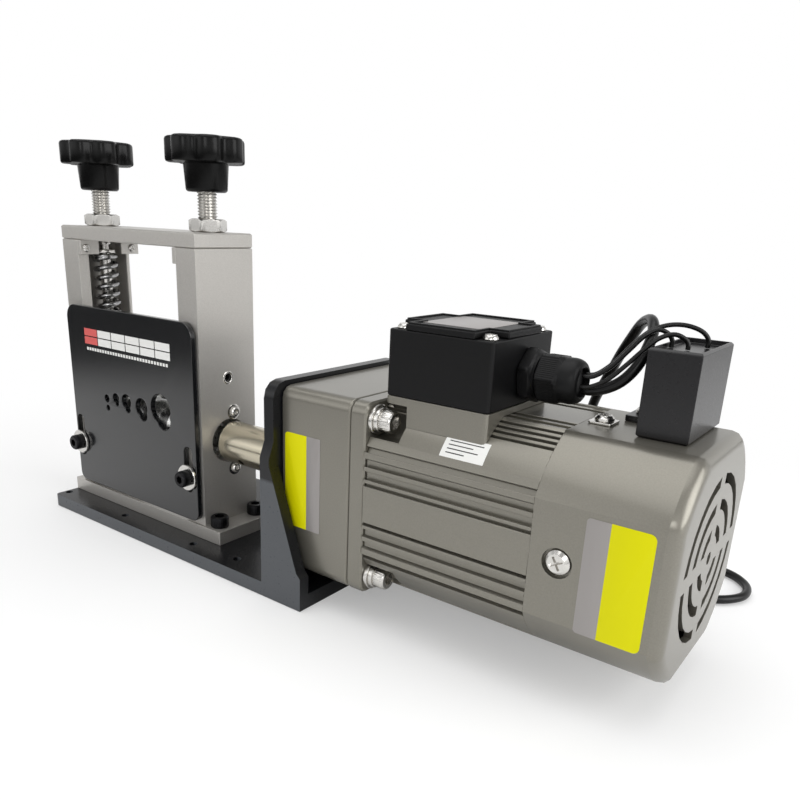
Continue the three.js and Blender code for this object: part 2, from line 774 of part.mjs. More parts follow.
// The four long screws that clamp the motor and gearhead to the upright plate
const motorScrewLength = bodyStart + bracketThickness - 2 * overrun;
const washerStack = [[washerRadius, washerThickness], [springWasherRadius, springWasherThickness]];
boltPlaces.forEach(([y, z], i) => {
  add(`motor_screw_${i + 1}`, socketScrew(motorScrewLength, washerStack), nickel,
    [bodyStart, y, z], [0, Math.PI / 2, 0]);
});

// Rotor shaft and its cooling fan, which turn together
const fanLeft = bodyEnd + fanStart;
add('rotor_shaft',
  prism(disc(rotorShaftRadius, 0, 0, smallSides), 'x', -rotorShaftDepth, fanStart + fanWidth - overrun),
  brightSteel, [bodyEnd, 0, axisHeight]);

function coolingFan() {
  const bore = rotorShaftRadius + runGap;
  const wheel = turned([
    [bore, 0], [fanRadius, 0], [fanRadius, fanPlateThickness], [fanHubRadius, fanPlateThickness],
    [fanHubRadius, fanWidth], [bore, fanWidth], [bore, 0],
  ], 'x', roundSides);
  const vane = block(
    fanPlateThickness / 2, fanWidth, fanHubRadius - fanBladeThickness / 2, fanRadius,
    -fanBladeThickness / 2, fanBladeThickness / 2);
  const vanes = Array.from({ length: fanBladeCount }, (_, i) => vane.rotate([(360 * i) / fanBladeCount, 0, 0]));
  return joined(wheel, ...vanes);
}
add('cooling_fan', coolingFan(), blackPlastic, [fanLeft, 0, axisHeight]);

// Terminal box: a cast saddle that follows the barrel, the box, and its lid with notched corners
function terminalBase() {
  const foot = prism(
    rectangle(boxLeft, boxRight, -boxFront, boxRear, boxCornerRadius), 'z',
    axisHeight, boxBottom - seatGap);
  const barrel = new THREE.Shape(barrelOutline(-seatGap));
  const pockets = boltPlaces.map(([y, z]) => (
    prism(disc(boltPocketRadius, y, z), 'x', boxLeft - overrun, bodyStart + boltPocketLength)));
  return cut(foot, prism(barrel, 'x', boxLeft - overrun, boxRight + overrun), ...pockets);
}
add('terminal_base', terminalBase(), motorGrey);

add('terminal_box', prism(
  rectangle(boxLeft, boxRight, -boxFront, boxRear, boxCornerRadius), 'z', boxBottom, boxTop), blackPlastic);

const lidNotch = [[0, 0], [lidNotchLength, 0], [lidNotchLength, lidNotchWidth], [0, lidNotchWidth]];
function lidOutline() {
  const corners = [[boxRight, -boxFront, -1, 1], [boxRight, boxRear, -1, -1],
    [boxLeft, boxRear, 1, -1], [boxLeft, -boxFront, 1, 1]];
  const points = corners.flatMap(([x, y, inX, inY]) => {
    const [, alongX, inner, alongY] = lidNotch.map(([u, v]) => point(x + inX * u, y + inY * v));
    return inX === inY ? [alongY, inner, alongX] : [alongX, inner, alongY];
  });
  return new THREE.Shape(points);
}
add('terminal_lid', prism(lidOutline(), 'z', boxTop + seatGap, boxTop + seatGap + lidHeight), blackPlastic);

// Cable gland: a hexagon body with a collar, and a domed nut
const glandNutStart = boxRight + seatGap + glandHexLength + glandCollarLength;
const glandMouth = glandNutStart + glandNutLength;
function glandBody() {
  const start = boxRight + seatGap;
  const flats = prism(hexagon(glandAcross, glandY, glandZ), 'x', start, start + glandHexLength);
  const collar = prism(
    disc(glandCollarRadius, glandY, glandZ), 'x', start + glandHexLength - overrun, glandNutStart - seatGap);
  return joined(flats, collar);
}
add('gland_body', glandBody(), blackPlastic);
add('gland_nut', turned([
  [0, 0], [glandNutRadius, 0], [glandNutRadius, glandNutLength / 3],
  [(glandNutRadius * 2 + glandMouthRadius) / 3, (glandNutLength * 3) / 4],
  [glandMouthRadius, glandNutLength], [0, glandNutLength],
], 'x'), blackPlastic, [glandNutStart, glandY, glandZ]);

// Capacitor: a potted box whose rim stands round its filling, with one foot
function capacitorCase() {
  const box = prism(
    rectangle(capacitorLeft, capacitorRight, -capacitorFront, capacitorRear), 'z',
    capacitorBottom, capacitorTop, capacitorEdge);
  const mouth = block(
    capacitorLeft + capacitorRim, capacitorRight - capacitorRim,
    capacitorRim - capacitorFront, capacitorRear - capacitorRim,
    capacitorTop - capacitorRecess, capacitorTop + overrun);
  const ear = prism(
    rectangle(capacitorLeft - earLength, capacitorLeft + capacitorEdge + overrun, earPlace - earHalfWidth,
      earPlace + earHalfWidth, capacitorEdge), 'z', capacitorBottom, capacitorBottom + earThickness);
  const hole = prism(
    disc(earScrewRadius + runGap, capacitorLeft - earScrewPlace, earPlace, smallSides), 'z',
    capacitorBottom - overrun, capacitorTop);
  return cut(joined(box, ear), mouth, hole);
}
add('capacitor_case', capacitorCase(), blackPlastic);
add('capacitor_screw', turned([
  [0, -coverWall], [earScrewRadius, -coverWall], [earScrewRadius, 0], [earScrewHeadRadius, 0],
  [earScrewHeadRadius, earScrewHeadHeight / 2], [earScrewRadius, earScrewHeadHeight], [0, earScrewHeadHeight],
], 'z', smallSides), nickel,
[capacitorLeft - earScrewPlace, earPlace, capacitorBottom + earThickness + seatGap]);

// Stripping head: foot plate, two pillars and a crossbar
function stripperBase() {
  const outline = rectangle(
    -baseLeft, -footRight, pillarFront - footMargin, pillarRear + footMargin, crossbarEdge);
  const holes = [-footScrewHalfPitch, footScrewHalfPitch].map((y) => prism(
    disc(boltRadius + runGap, -footRight - footScrewPlace, shaftY + y, smallSides), 'z',
    footBottom - overrun, footTop + overrun));
  return cut(prism(outline, 'z', footBottom, footTop), ...holes);
}
add('stripper_base', stripperBase(), satinAluminium);

// Both pillars are alike but for the bearing bore, which goes right through the driven one
// and stops inside the other. side is -1 on the left and 1 on the right.
function pillar(side) {
  const at = (reach) => stripperX(side * reach);
  const span = (near, far) => (side < 0 ? [at(far), at(near)] : [at(near), at(far)]);
  const body = block(...span(innerReach, stripperHalfSpan), pillarFront, pillarRear, pillarBottom, pillarTop);
  const groove = block(
    ...span(innerReach - overrun, grooveReach), shaftY - grooveHalfWidth, shaftY + grooveHalfWidth,
    grooveFloor, pillarTop + overrun);
  const rebate = block(
    ...span(innerReach - overrun, innerReach + rebateDepth), pillarRear - rebateWidth, pillarRear + overrun,
    pillarBottom - overrun, pillarTop + overrun);
  const blind = innerReach + bearingInset + bearingWidth + seatGap;
  const boreEnd = side < 0 ? blind : stripperHalfSpan + overrun;
  const bore = prism(disc(bearingBore, shaftY, axisHeight), 'x', ...span(innerReach - overrun, boreEnd));
  const screwHole = prism(
    disc(boltRadius + runGap, at(slotReach), guideScrewHeight, smallSides), 'y',
    pillarFront - overrun, pillarFront + guideScrewDepth + overrun);
  const cuts = [groove, rebate, bore, screwHole];
  if (side > 0) {
    const hole = disc(sideHoleRadius, shaftY, sideHoleHeight, smallSides);
    cuts.push(prism(hole, 'x', ...span(grooveReach - overrun, stripperHalfSpan + overrun)));
  }
  return cut(body, ...cuts);
}
add('left_pillar', pillar(-1), satinAluminium);
add('right_pillar', pillar(1), satinAluminium);

function crossbar() {
  const bar = prism(
    rectangle(stripperX(-stripperHalfSpan), stripperX(stripperHalfSpan), pillarFront, pillarRear),
    'z', crossbarBottom, crossbarTop, crossbarEdge);
  const holes = [-1, 1].map((side) => prism(
    disc(screwRadius + runGap, stripperX(side * screwReach), shaftY), 'z',
    crossbarBottom - overrun, crossbarTop + overrun));
  return cut(bar, ...holes);
}
add('crossbar', crossbar(), satinAluminium);

// A bearing ring, a retainer and the pieces on each adjusting screw, left and right
const screwSetDown = [
  [0, sliderTop - stemSeatDepth + runGap], [stemRadius, sliderTop - stemSeatDepth + runGap],
  [stemRadius, collarBottom], [collarRadius, collarBottom], [collarRadius, collarTop],
  [neckRadius, collarTop], [neckRadius, threadEnd], [screwRadius, threadEnd],
  [screwRadius, screwTop], [0, screwTop],
];

function retainer(side, low, high) {
  const top = crossbarBottom - seatGap;
  const near = innerReach - seatGap;
  const ends = [stripperX(side * near), stripperX(side * (near - retainerThickness))];
  return block(Math.min(...ends), Math.max(...ends), low, high, top - retainerHeight, top);
}

function slider(side) {
  const inner = innerReach - sliderReach;
  const outer = grooveReach - runGap;
  const half = grooveHalfWidth - runGap;
  const ends = [stripperX(side * inner), stripperX(side * outer)];
  const bodyBlock = block(
    Math.min(...ends), Math.max(...ends), shaftY - half, shaftY + half, sliderBottom, sliderTop);
  const boreEnds = [
    stripperX(side * (inner - overrun)), stripperX(side * (innerReach + bladeShaftSeat + runGap))];
  const bore = prism(
    disc(bladeShaftRadius + runGap, shaftY, bladeShaftHeight), 'x', Math.min(...boreEnds), Math.max(...boreEnds));
  const seat = prism(
    disc(stemRadius + runGap, stripperX(side * screwReach), shaftY, smallSides), 'z',
    sliderTop - stemSeatDepth, sliderTop + overrun);
  return cut(bodyBlock, bore, seat);
}

// A compression spring: its ends stand straight on the slider and under the collar
function springCentres() {
  const radius = springOuterRadius - springWire / 2;
  const low = sliderTop + runGap;
  const high = collarBottom - runGap;
  const rise = high - low - 2 * springWire;
  const centres = [new THREE.Vector3(radius, 0, low)];
  for (let i = 0; i <= springCurls * springSteps; i += 1) {
    const angle = (2 * Math.PI * i) / springSteps;
    const height = low + springWire + (rise * i) / (springCurls * springSteps);
    centres.push(new THREE.Vector3(radius * Math.cos(angle), radius * Math.sin(angle), height));
  }
  centres.push(new THREE.Vector3(radius, 0, high));
  return centres;
}
console.log('least gap in a spring:', leastGap(springCentres(), springWire / 2, springSteps - 2).toFixed(2));

function knob() {
  const outline = Array.from({ length: lobeCount * lobeSteps }, (_, i) => {
    const angle = (2 * Math.PI * i) / (lobeCount * lobeSteps);
    const reach = lobeMiddleRadius + lobeSwing * Math.cos(lobeCount * angle);
    return point(reach * Math.cos(angle), reach * Math.sin(angle));
  });
  const star = prism(new THREE.Shape(outline), 'z', discBottom, discTop, discEdge);
  const hub = turned([
    [0, hubBottom], [hubBottomRadius, hubBottom], [hubTopRadius, discBottom + discEdge],
    [0, discBottom + discEdge]], 'z');
  const domeRadius = lobeMiddleRadius - lobeSwing - 2 * discEdge;
  const dome = turned([
    [0, discTop - discEdge], [domeRadius, discTop - discEdge], [domeRadius, discTop],
    [domeRadius / 2, discTop + domeHeight], [0, discTop + domeHeight]], 'z');
  const bore = prism(disc(screwRadius + runGap), 'z', hubBottom - overrun, screwTop + runGap);
  return cut(joined(star, hub, dome), bore);
}

const bearing = turned([
  [journalRadius + runGap, 0], [bearingRadius, 0], [bearingRadius, bearingWidth],
  [journalRadius + runGap, bearingWidth], [journalRadius + runGap, 0]], 'x');
const lockNut = cut(
  prism(hexagon(lockNutAcross), 'z', 0, lockNutHeight),
  prism(disc(screwRadius + runGap), 'z', -overrun, lockNutHeight + overrun));

for (const [name, side] of [['left', -1], ['right', 1]]) {
  const screwX = stripperX(side * screwReach);
  const bearingLow = side < 0 ? -innerReach - bearingInset - bearingWidth : innerReach + bearingInset;
  add(`${name}_bearing`, bearing, brightSteel, [stripperX(bearingLow), shaftY, axisHeight]);
  add(`${name}_front_retainer`, retainer(side, pillarFront, shaftY - retainerNotchHalf), satinAluminium);
  add(`${name}_rear_retainer`, retainer(side, shaftY + retainerNotchHalf, pillarRear), satinAluminium);
  add(`${name}_lock_nut`, lockNut, nickel, [screwX, shaftY, crossbarTop + seatGap]);
  add(`${name}_slider`, slider(side), brightSteel);
  add(`${name}_spring`, tubeThrough(springCentres(), springWire / 2, springSides), nickel, [screwX, shaftY, 0]);
  add(`${name}_adjusting_screw`, turned(screwSetDown, 'z', smallSides), nickel, [screwX, shaftY, 0]);
  add(`${name}_knob`, knob(), blackPlastic, [screwX, shaftY, 0]);
}

// Blade shaft: journals in the sliders, and spacers that keep a place for each round blade
const channelPlaces = channelPlaceShares.map((share) => plateShift + share * plateHalfWidth);
function bladeShaft() {
  const end = innerReach + bladeShaftSeat;
  const shoulder = innerReach - sliderReach - runGap;
  const profile = [[0, -end], [bladeShaftRadius, -end], [bladeShaftRadius, -shoulder], [spacerRadius, -shoulder]];
  for (const place of channelPlaces) {
    const half = bladeThickness / 2 + seatGap;
    profile.push([spacerRadius, place - half], [bladeShaftRadius, place - half]);
    profile.push([bladeShaftRadius, place + half], [spacerRadius, place + half]);
  }
  profile.push([spacerRadius, shoulder], [bladeShaftRadius, shoulder], [bladeShaftRadius, end], [0, end]);
  return turned(profile, 'x', smallSides);
}
add('blade_shaft', bladeShaft(), brightSteel, [stripperX(0), shaftY, bladeShaftHeight]);

const bladeBore = bladeShaftRadius + runGap;
const bladeHalf = bladeThickness / 2;
const blade = turned([
  [bladeBore, -bladeHalf], [bladeRadius - bladeBevel, -bladeHalf], [bladeRadius, -bladeEdge / 2],
  [bladeRadius, bladeEdge / 2], [bladeRadius - bladeBevel, bladeHalf], [bladeBore, bladeHalf],
  [bladeBore, -bladeHalf]], 'x', roundSides);
channelPlaces.forEach((place, i) => {
  add(`blade_${i + 1}`, blade, brightSteel, [stripperX(place), shaftY, bladeShaftHeight]);
});

// Feed roller with a groove under each blade, its coupling sleeve and the gearhead's shaft
function feedRoller() {
  const left = innerReach + bearingInset + bearingWidth;
  const right = stripperCentre - couplingLeft + couplingGrip;
  const end = innerReach - rollerEndGap;
  const profile = [[0, -left], [journalRadius, -left], [journalRadius, -end],
    [rollerRadius - rollerEdge, -end], [rollerRadius, rollerEdge - end]];
  channelPlaces.forEach((place, i) => {
    const half = channelRadius * channelSizeShares[i];
    const floor = rollerRadius * (1 - rollerGrooveDepthShares[i]);
    profile.push([rollerRadius, place - half], [floor, place - half / 2]);
    profile.push([floor, place + half / 2], [rollerRadius, place + half]);
  });
  profile.push([rollerRadius, end - rollerEdge], [rollerRadius - rollerEdge, end], [journalRadius, end]);
  profile.push([journalRadius, right], [0, right]);
  return turned(profile, 'x', roundSides);
}
add('feed_roller', feedRoller(), brightSteel, [stripperX(0), shaftY, axisHeight]);

function driveCoupling() {
  const bore = journalRadius + runGap;
  const sleeve = turned([
    [bore, -couplingLeft], [couplingRadius - couplingEdge, -couplingLeft],
    [couplingRadius, couplingEdge - couplingLeft], [couplingRadius, -couplingRight - couplingEdge],
    [couplingRadius - couplingEdge, -couplingRight], [bore, -couplingRight], [bore, -couplingLeft]], 'x');
  const grubHoles = [couplingLeft - couplingGrip, couplingRight + couplingGrip / 2].map((x) => (
    prism(disc(grubRadius, -x, 0, smallSides), 'y', -couplingRadius - overrun, 0)));
  return cut(sleeve, ...grubHoles);
}
add('drive_coupling', driveCoupling(), nickel, [0, shaftY, axisHeight]);
add('output_shaft',
  prism(disc(journalRadius), 'x', -couplingRight - outputShaftGrip, boreDepth - runGap),
  brightSteel, [0, shaftY, axisHeight]);

// Guide plate: wire channels, each a large hole with a smaller lobe, and two clamping slots
function guidePlate() {
  const centre = plateShift - stripperCentre;
  const outline = rectangle(
    centre - plateHalfWidth, centre + plateHalfWidth, plateBottom, plateTop, plateBottomRadius, plateTopRadius);
  const through = (shape) => prism(shape, 'y', plateFront - overrun, plateBack + overrun);
  const cuts = [];
  channelPlaces.forEach((place, i) => {
    const radius = channelRadius * channelSizeShares[i];
    const x = stripperX(place);
    const z = channelHeight + channelRadius * channelRiseShares[i];
    const sides = i < channelPlaces.length / 2 ? smallSides : roundSides;
    cuts.push(through(disc(radius, x, z, sides)));
    cuts.push(through(disc(
      radius * lobeSizeShares[i], x + radius * lobeSideShare, z - radius * lobeDropShares[i], smallSides)));
  });
  for (const side of [-1, 1]) {
    const x = stripperX(side * slotReach);
    cuts.push(through(new THREE.Shape([
      ...arc(x, slotBottom + slotHalfWidth, slotHalfWidth, 180, 360, cornerSteps * 2),
      ...arc(x, slotTop - slotHalfWidth, slotHalfWidth, 0, 180, cornerSteps * 2),
    ])));
  }
  return cut(prism(outline, 'y', plateFront, plateBack), ...cuts);
}
add('guide_plate', guidePlate(), blackGloss);

const guideScrewLength = plateThickness + 2 * runGap + guideScrewDepth;
const guideWashers = [[guideWasherRadius, guideWasherThickness]];
for (const [name, side] of [['left', -1], ['right', 1]]) {
  add(`${name}_guide_screw`, socketScrew(guideScrewLength, guideWashers), blackOxide,
    [stripperX(side * slotReach), plateFront - runGap, guideScrewHeight], [Math.PI / 2, 0, 0]);
}
for (const [name, side] of [['front', -1], ['rear', 1]]) {
  add(`${name}_foot_screw`, socketScrew(footThickness + footScrewDepth - runGap, []), blackOxide,
    [-footRight - footScrewPlace, shaftY + side * footScrewHalfPitch, footTop + seatGap]);
}

// Leads from the gland into the capacitor's filling, each along its own hand-placed curve
const leadEnd = capacitorTop - capacitorRecess + runGap;
const leadStart = glandMouth + runGap;
const leadRoutes = [
  [[leadStart, -7.6, 124.4], [128, -7.6, 124.4], [131.4, -7.4, 125], [137.6, -6, 129.2], [143, -4, 136],
    [147.4, -1.6, 141.8], [151.4, 1, 144.4], [154.6, 3.2, 143], [156, 4.2, 140.6], [156, 4.2, leadEnd]],
  [[leadStart, -5, 124.9], [128, -5, 124.9], [131.4, -4.7, 125.6], [137.6, -2.8, 130.6], [143, 0, 138],
    [147.6, 3.2, 143.2], [153, 6.6, 145.8], [159, 10, 146], [164.4, 13, 143.8], [166.4, 14.2, 141],
    [166.4, 14.2, leadEnd]],
  [[leadStart, -9.4, 120.6], [128, -9.4, 120.6], [131.4, -9.4, 121.2], [137.6, -8.8, 124.4],
    [143.6, -7.6, 130.6], [149, -5.4, 137.2], [153.6, -2.6, 142], [158, 0.4, 143.4], [161.6, 2.6, 141.4],
    [162.4, 3, 139.6], [162.4, 3, leadEnd]],
];
leadRoutes.forEach((route, i) => {
  add(`capacitor_lead_${i + 1}`, lead(route, leadRadius, leadSides, leadSteps), blackRubber);
});

// Mains lead: out of the gland, up and over in a loop beside the capacitor, down behind the motor
// to the bench, out past the fan cover and into a stored coil of two layers.
function coilCentres() {
  const centres = [];
  const low = mainsRadius + coilFloor;
  for (let i = 0; i <= coilTurns * coilSteps; i += 1) {
    const turns = i / coilSteps;
    const angle = Math.PI / 2 + 2 * Math.PI * turns;
    const radius = coilOuterRadius - coilPitch * (coilTurns / 2 - Math.abs(turns - coilTurns / 2));
    const climb = THREE.MathUtils.clamp(coilTurns - 2 * turns + 1 / 2, 0, 1);
    centres.push(new THREE.Vector3(
      coilCentreX + radius * Math.cos(angle), coilCentreY + radius * Math.sin(angle), low + climb * coilPitch));
  }
  centres.unshift(centres[0].clone().addScaledVector(unitX, 2 * mainsRadius));
  centres.push(centres[centres.length - 1].clone().addScaledVector(unitX, coilTail));
  return centres;
}
const coil = coilCentres();
console.log('least gap in the coil:', leastGap(coil, mainsRadius, coilSteps / 2).toFixed(2));
add('mains_coil', tubeThrough(coil, mainsRadius, coilSides), blackRubber);

const mainsRoute = [
  [leadStart, -5, 118.8], [130, -5, 118.8], [135.7, -4.6, 120.2], [141.7, -3.5, 123.9], [146, -1.4, 129.8],
  [147.7, 2.1, 136.3], [147.5, 7.2, 141.8], [145.1, 13.4, 145.2], [141.3, 20, 145.7], [136.5, 25.9, 142.9],
  [132.1, 29.7, 136.8], [127.9, 32.5, 129.8], [124.1, 34.8, 122.3], [120.2, 37, 114.6], [116.1, 40.2, 106.5],
  [112.6, 44.2, 97.5], [109.8, 48.8, 87], [108, 54, 75], [107.4, 59, 62], [107.8, 63.6, 48],
  [109.8, 68.2, 34], [114.2, 72.6, 21], [121.4, 76.8, 11.2], [131.4, 80.6, 5], [143, 83.6, 2.7],
  [155, 85.4, 2.5], [166.6, 88.8, 2.5], [176.8, 95.4, 2.5], [183, 105.6, 2.5], [182.2, 117.4, 2.5],
  [175.2, 126.6, 2.5], [165, 131.2, 2.5], [153, 132, 2.5], [136, 131.4, 2.5], [118, 130.9, 2.6],
  [100, 130.6, 3.2], [82, 130.5, 4.6], [66, 130.5, 6.4], [56, 130.5, 7.1],
  [coil[0].x + runGap, coil[0].y, coil[0].z],
];
add('mains_cord', lead(mainsRoute, mainsRadius, mainsSides, mainsSteps), blackRubber);

// A plain moulded plug with two flat pins, lying beside the coil
function mainsPlug() {
  const neck = turned([
    [0, 0], [plugNeckRadius, 0], [plugNeckRadius + plugCornerRadius / 2, plugNeckLength + overrun],
    [0, plugNeckLength + overrun]], 'x', smallSides);
  const bodyRise = mainsRadius + coilFloor;
  const shell = prism(
    rectangle(-plugHalfWidth, plugHalfWidth, coilFloor - bodyRise, coilFloor - bodyRise + plugHeight,
      plugCornerRadius),
    'x', plugNeckLength, plugNeckLength + plugLength, plugCornerRadius / 2);
  const pins = [-pinPitch / 2, pinPitch / 2].map((y) => block(
    plugNeckLength + plugLength - overrun, plugNeckLength + plugLength + pinLength,
    y - pinHalfThickness, y + pinHalfThickness,
    plugHeight / 2 - bodyRise - pinHalfWidth, plugHeight / 2 - bodyRise + pinHalfWidth));
  const floor = block(-overrun, plugNeckLength + plugLength, -baseHalfWidth, baseHalfWidth,
    -baseHalfWidth, coilFloor - bodyRise);
  return cut(joined(neck, shell, ...pins), floor);
}
const coilEnd = coil[coil.length - 1];
add('mains_plug', mainsPlug(), blackRubber, [coilEnd.x + runGap, coilEnd.y, coilEnd.z]);

export default machine;
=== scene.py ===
# %% [markdown]
# # Electric wire stripping machine
# A bench machine for stripping cable. A geared, fan-cooled motor turns a feed roller, and round
# blades above the roller slit the cable's sheath as it is pulled in through a guide plate.
# The machine's solids come packed as a frame of named nodes on moving bodies. This lesson gives
# them their finishes, and makes the turned, threaded and flexible pieces more finely.

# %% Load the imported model
import json
import math

import bmesh
import bpy
from mathutils import Matrix, Vector


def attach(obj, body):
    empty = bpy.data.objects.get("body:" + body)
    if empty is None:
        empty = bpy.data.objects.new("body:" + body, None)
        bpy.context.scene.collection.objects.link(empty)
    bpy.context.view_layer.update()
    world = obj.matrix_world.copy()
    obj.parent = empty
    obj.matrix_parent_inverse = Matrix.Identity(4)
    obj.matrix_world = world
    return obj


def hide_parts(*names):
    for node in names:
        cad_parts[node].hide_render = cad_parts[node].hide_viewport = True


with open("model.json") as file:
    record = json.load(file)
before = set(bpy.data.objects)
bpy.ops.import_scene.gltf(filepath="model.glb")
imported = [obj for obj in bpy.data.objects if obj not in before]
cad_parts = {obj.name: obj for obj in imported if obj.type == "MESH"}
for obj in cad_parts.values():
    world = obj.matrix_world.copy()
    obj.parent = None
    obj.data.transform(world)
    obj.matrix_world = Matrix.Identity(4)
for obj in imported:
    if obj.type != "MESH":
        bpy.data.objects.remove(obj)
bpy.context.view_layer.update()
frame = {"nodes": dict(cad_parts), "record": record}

# %% [markdown]
# ## Camera
# The machine is seen from the front right and a little above, as on a low table. The lens and
# the shift were worked out from the straight edges and known widths of the machine.

# %% Place the camera
MM = 0.001
CAMERA_PLACE = (239.84, -288.99, 179.26)
CAMERA_YAW, CAMERA_PITCH, CAMERA_ROLL = 36.67, 18.79, 2.25
SENSOR_MM, LENS_MM, LENS_SHIFT = 36, 33.85, (0.0256, 0.0955)

yaw, pitch, roll = (math.radians(a) for a in (CAMERA_YAW, CAMERA_PITCH, CAMERA_ROLL))
forward = Vector((-math.sin(yaw) * math.cos(pitch), math.cos(yaw) * math.cos(pitch),
                  -math.sin(pitch)))
level = Vector((math.cos(yaw), math.sin(yaw), 0))
upright = level.cross(forward)
right = math.cos(roll) * level + math.sin(roll) * upright
up = -math.sin(roll) * level + math.cos(roll) * upright

camera_data = bpy.data.cameras.new("camera")
camera_data.sensor_width = SENSOR_MM
camera_data.lens = LENS_MM
camera_data.shift_x, camera_data.shift_y = LENS_SHIFT
camera_data.clip_start = 0.01
camera = bpy.data.objects.new("camera", camera_data)
camera.matrix_world = Matrix.Translation(Vector(CAMERA_PLACE) * MM) @ Matrix(
    (right, up, -forward)).transposed().to_4x4()
bpy.context.scene.collection.objects.link(camera)
bpy.context.scene.camera = camera
bpy.context.scene.view_settings.view_transform = "Standard"
print("camera at", [round(c, 3) for c in camera.location])

# %% [markdown]
# ## Colours and material nodes
# A colour picked on a screen is sRGB, and Blender's shaders want linear light, so one function
# turns hex values into linear ones. Another small function adds a node with its settings and
# its links, which keeps each finish below short enough to read as a recipe.

# %% Helpers for colours and nodes
def linear(hex_colour):
    """An sRGB colour such as '8a8780' as linear red, green, blue and alpha."""
    channels = [int(hex_colour[i:i + 2], 16) / 255 for i in (0, 2, 4)]
    return [c / 12.92 if c <= 0.04045 else ((c + 0.055) / 1.055) ** 2.4 for c in channels] + [1]


def add_node(tree, kind, links=None, **settings):
    """A new node; links maps an input to the socket that feeds it."""
    node = tree.nodes.new(kind)
    for name, value in settings.items():
        if hasattr(node, name):
            setattr(node, name, value)
        else:
            node.inputs[name.replace("_", " ").title()].default_value = value
    for name, socket in (links or {}).items():
        tree.links.new(socket, node.inputs[name])
    return node


print("0.5 grey in linear light:", round(linear("808080")[0], 3))

# %% [markdown]
# A finish starts as plain numbers: how much it is a metal, how rough it is, how thick a clear coat
# it has. No real surface is quite even, so a grain of a real size then varies its height, its
# gloss and its colour.

# %% Helpers for finishes
def finish(name, colour, metallic=0.0, roughness=0.5, coat=0.0, coat_roughness=0.1, specular=0.5):
    """A new material with its Principled shader set by plain numbers."""
    material = bpy.data.materials.new(name)
    material.use_nodes = True
    shader = material.node_tree.nodes["Principled BSDF"]
    shader.inputs["Base Color"].default_value = linear(colour)
    shader.inputs["Metallic"].default_value = metallic
    shader.inputs["Specular IOR Level"].default_value = specular
    shader.inputs["Roughness"].default_value = roughness
    shader.inputs["Coat Weight"].default_value = coat
    shader.inputs["Coat Roughness"].default_value = coat_roughness
    material.diffuse_color = linear(colour)
    return material, material.node_tree, shader


def between(tree, value, colours, places):
    """The socket of a ramp from one hex colour to another, between two places of a value."""
    ramp = add_node(tree, "ShaderNodeValToRGB", {"Fac": value})
    for element, colour, place in zip(ramp.color_ramp.elements, colours, places):
        element.color = linear(colour)
        element.position = place
    return ramp.outputs["Color"]


def grain(material, size_mm, height_mm, stretch=(1, 1, 1), roughness=None, tint=None):
    """Noise of a real size on Object coordinates: a bump, and slight changes of gloss and colour."""
    tree = material.node_tree
    shader = tree.nodes["Principled BSDF"]
    place = add_node(tree, "ShaderNodeTexCoord").outputs["Object"]
    mapped = add_node(tree, "ShaderNodeMapping", {"Vector": place}, Scale=stretch)
    noise = add_node(tree, "ShaderNodeTexNoise", {"Vector": mapped.outputs["Vector"]},
                     Scale=1 / (size_mm * MM), Detail=3.0, Roughness=0.6)
    bump = add_node(tree, "ShaderNodeBump", {"Height": noise.outputs["Fac"]},
                    Strength=1.0, Distance=height_mm * MM)
    tree.links.new(bump.outputs["Normal"], shader.inputs["Normal"])
    if roughness:
        gloss = add_node(tree, "ShaderNodeMapRange", {"Value": noise.outputs["Fac"]},
                         To_Min=roughness[0], To_Max=roughness[1])
        tree.links.new(gloss.outputs["Result"], shader.inputs["Roughness"])
    if tint:
        tinted = between(tree, noise.outputs["Fac"], tint, (0.3, 0.7))
        tree.links.new(tinted, shader.inputs["Base Color"])
    return material


print("noise scale of a grain of 0.5 mm:", round(1 / (0.5 * MM)))

# %% [markdown]
# ## Finishes
# The machine mixes painted steel, milled aluminium, a motor in metallic enamel, bright plated
# screws and black mouldings. Grain sizes are real millimetres. Those finer than about half a
# millimetre are drawn at that size, because anything finer is lost in the picture.
# The base and its bracket come first. They are powder coated, nearly black. The faces of the base
# and the gussets that look to the front or the back, below the gussets' tops, are painted a lighter
# grey. This is painted light, for the lamps and the white floor that those faces look at. The shader finds
# those faces by itself.

# %% Powder coat of the base
# Powder-coated steel plate: nearly black slate, satin, with a slight orange peel 1.2 mm across.
SLATE, PAINTED_LIGHT_GREY, GREY_UP_TO, BLACK_FROM = "0f1013", "4d5054", 0.06, 0.066
slate_coat = grain(finish("slate_powder_coat", SLATE, 0.0, 0.28, specular=0.35)[0], 1.2, 0.01,
                   roughness=(0.24, 0.34))
tree = slate_coat.node_tree
coordinates = add_node(tree, "ShaderNodeTexCoord").outputs
across = add_node(tree, "ShaderNodeSeparateXYZ", {"Vector": coordinates["Normal"]}).outputs["Y"]
rise = add_node(tree, "ShaderNodeSeparateXYZ", {"Vector": coordinates["Object"]}).outputs["Z"]
# Painted light: faces that look to the front or the back, below the gussets' tops, turn a lighter grey
edge = add_node(tree, "ShaderNodeMath", {0: across}, operation="ABSOLUTE")
lower = add_node(tree, "ShaderNodeMapRange", {"Value": rise}, From_Min=GREY_UP_TO, From_Max=BLACK_FROM,
                 To_Min=1.0, To_Max=0.0)
painted_light_share = add_node(tree, "ShaderNodeMath", {0: edge.outputs[0], 1: lower.outputs["Result"]},
                      operation="MULTIPLY")
coat_colour = between(tree, painted_light_share.outputs[0], (SLATE, PAINTED_LIGHT_GREY), (0.6, 0.9))
tree.links.new(coat_colour, tree.nodes["Principled BSDF"].inputs["Base Color"])
print("nodes in the slate coat:", len(tree.nodes))

# %% [markdown]
# Next the metals and the motor's enamel. A bare or plated metal is fully metallic, and its colour
# is that of its mirror image: warm for nickel, cool for steel. Aluminium under its oxide film and
# enamel with metal flakes lie between metal and paint, so they are about two thirds metallic.

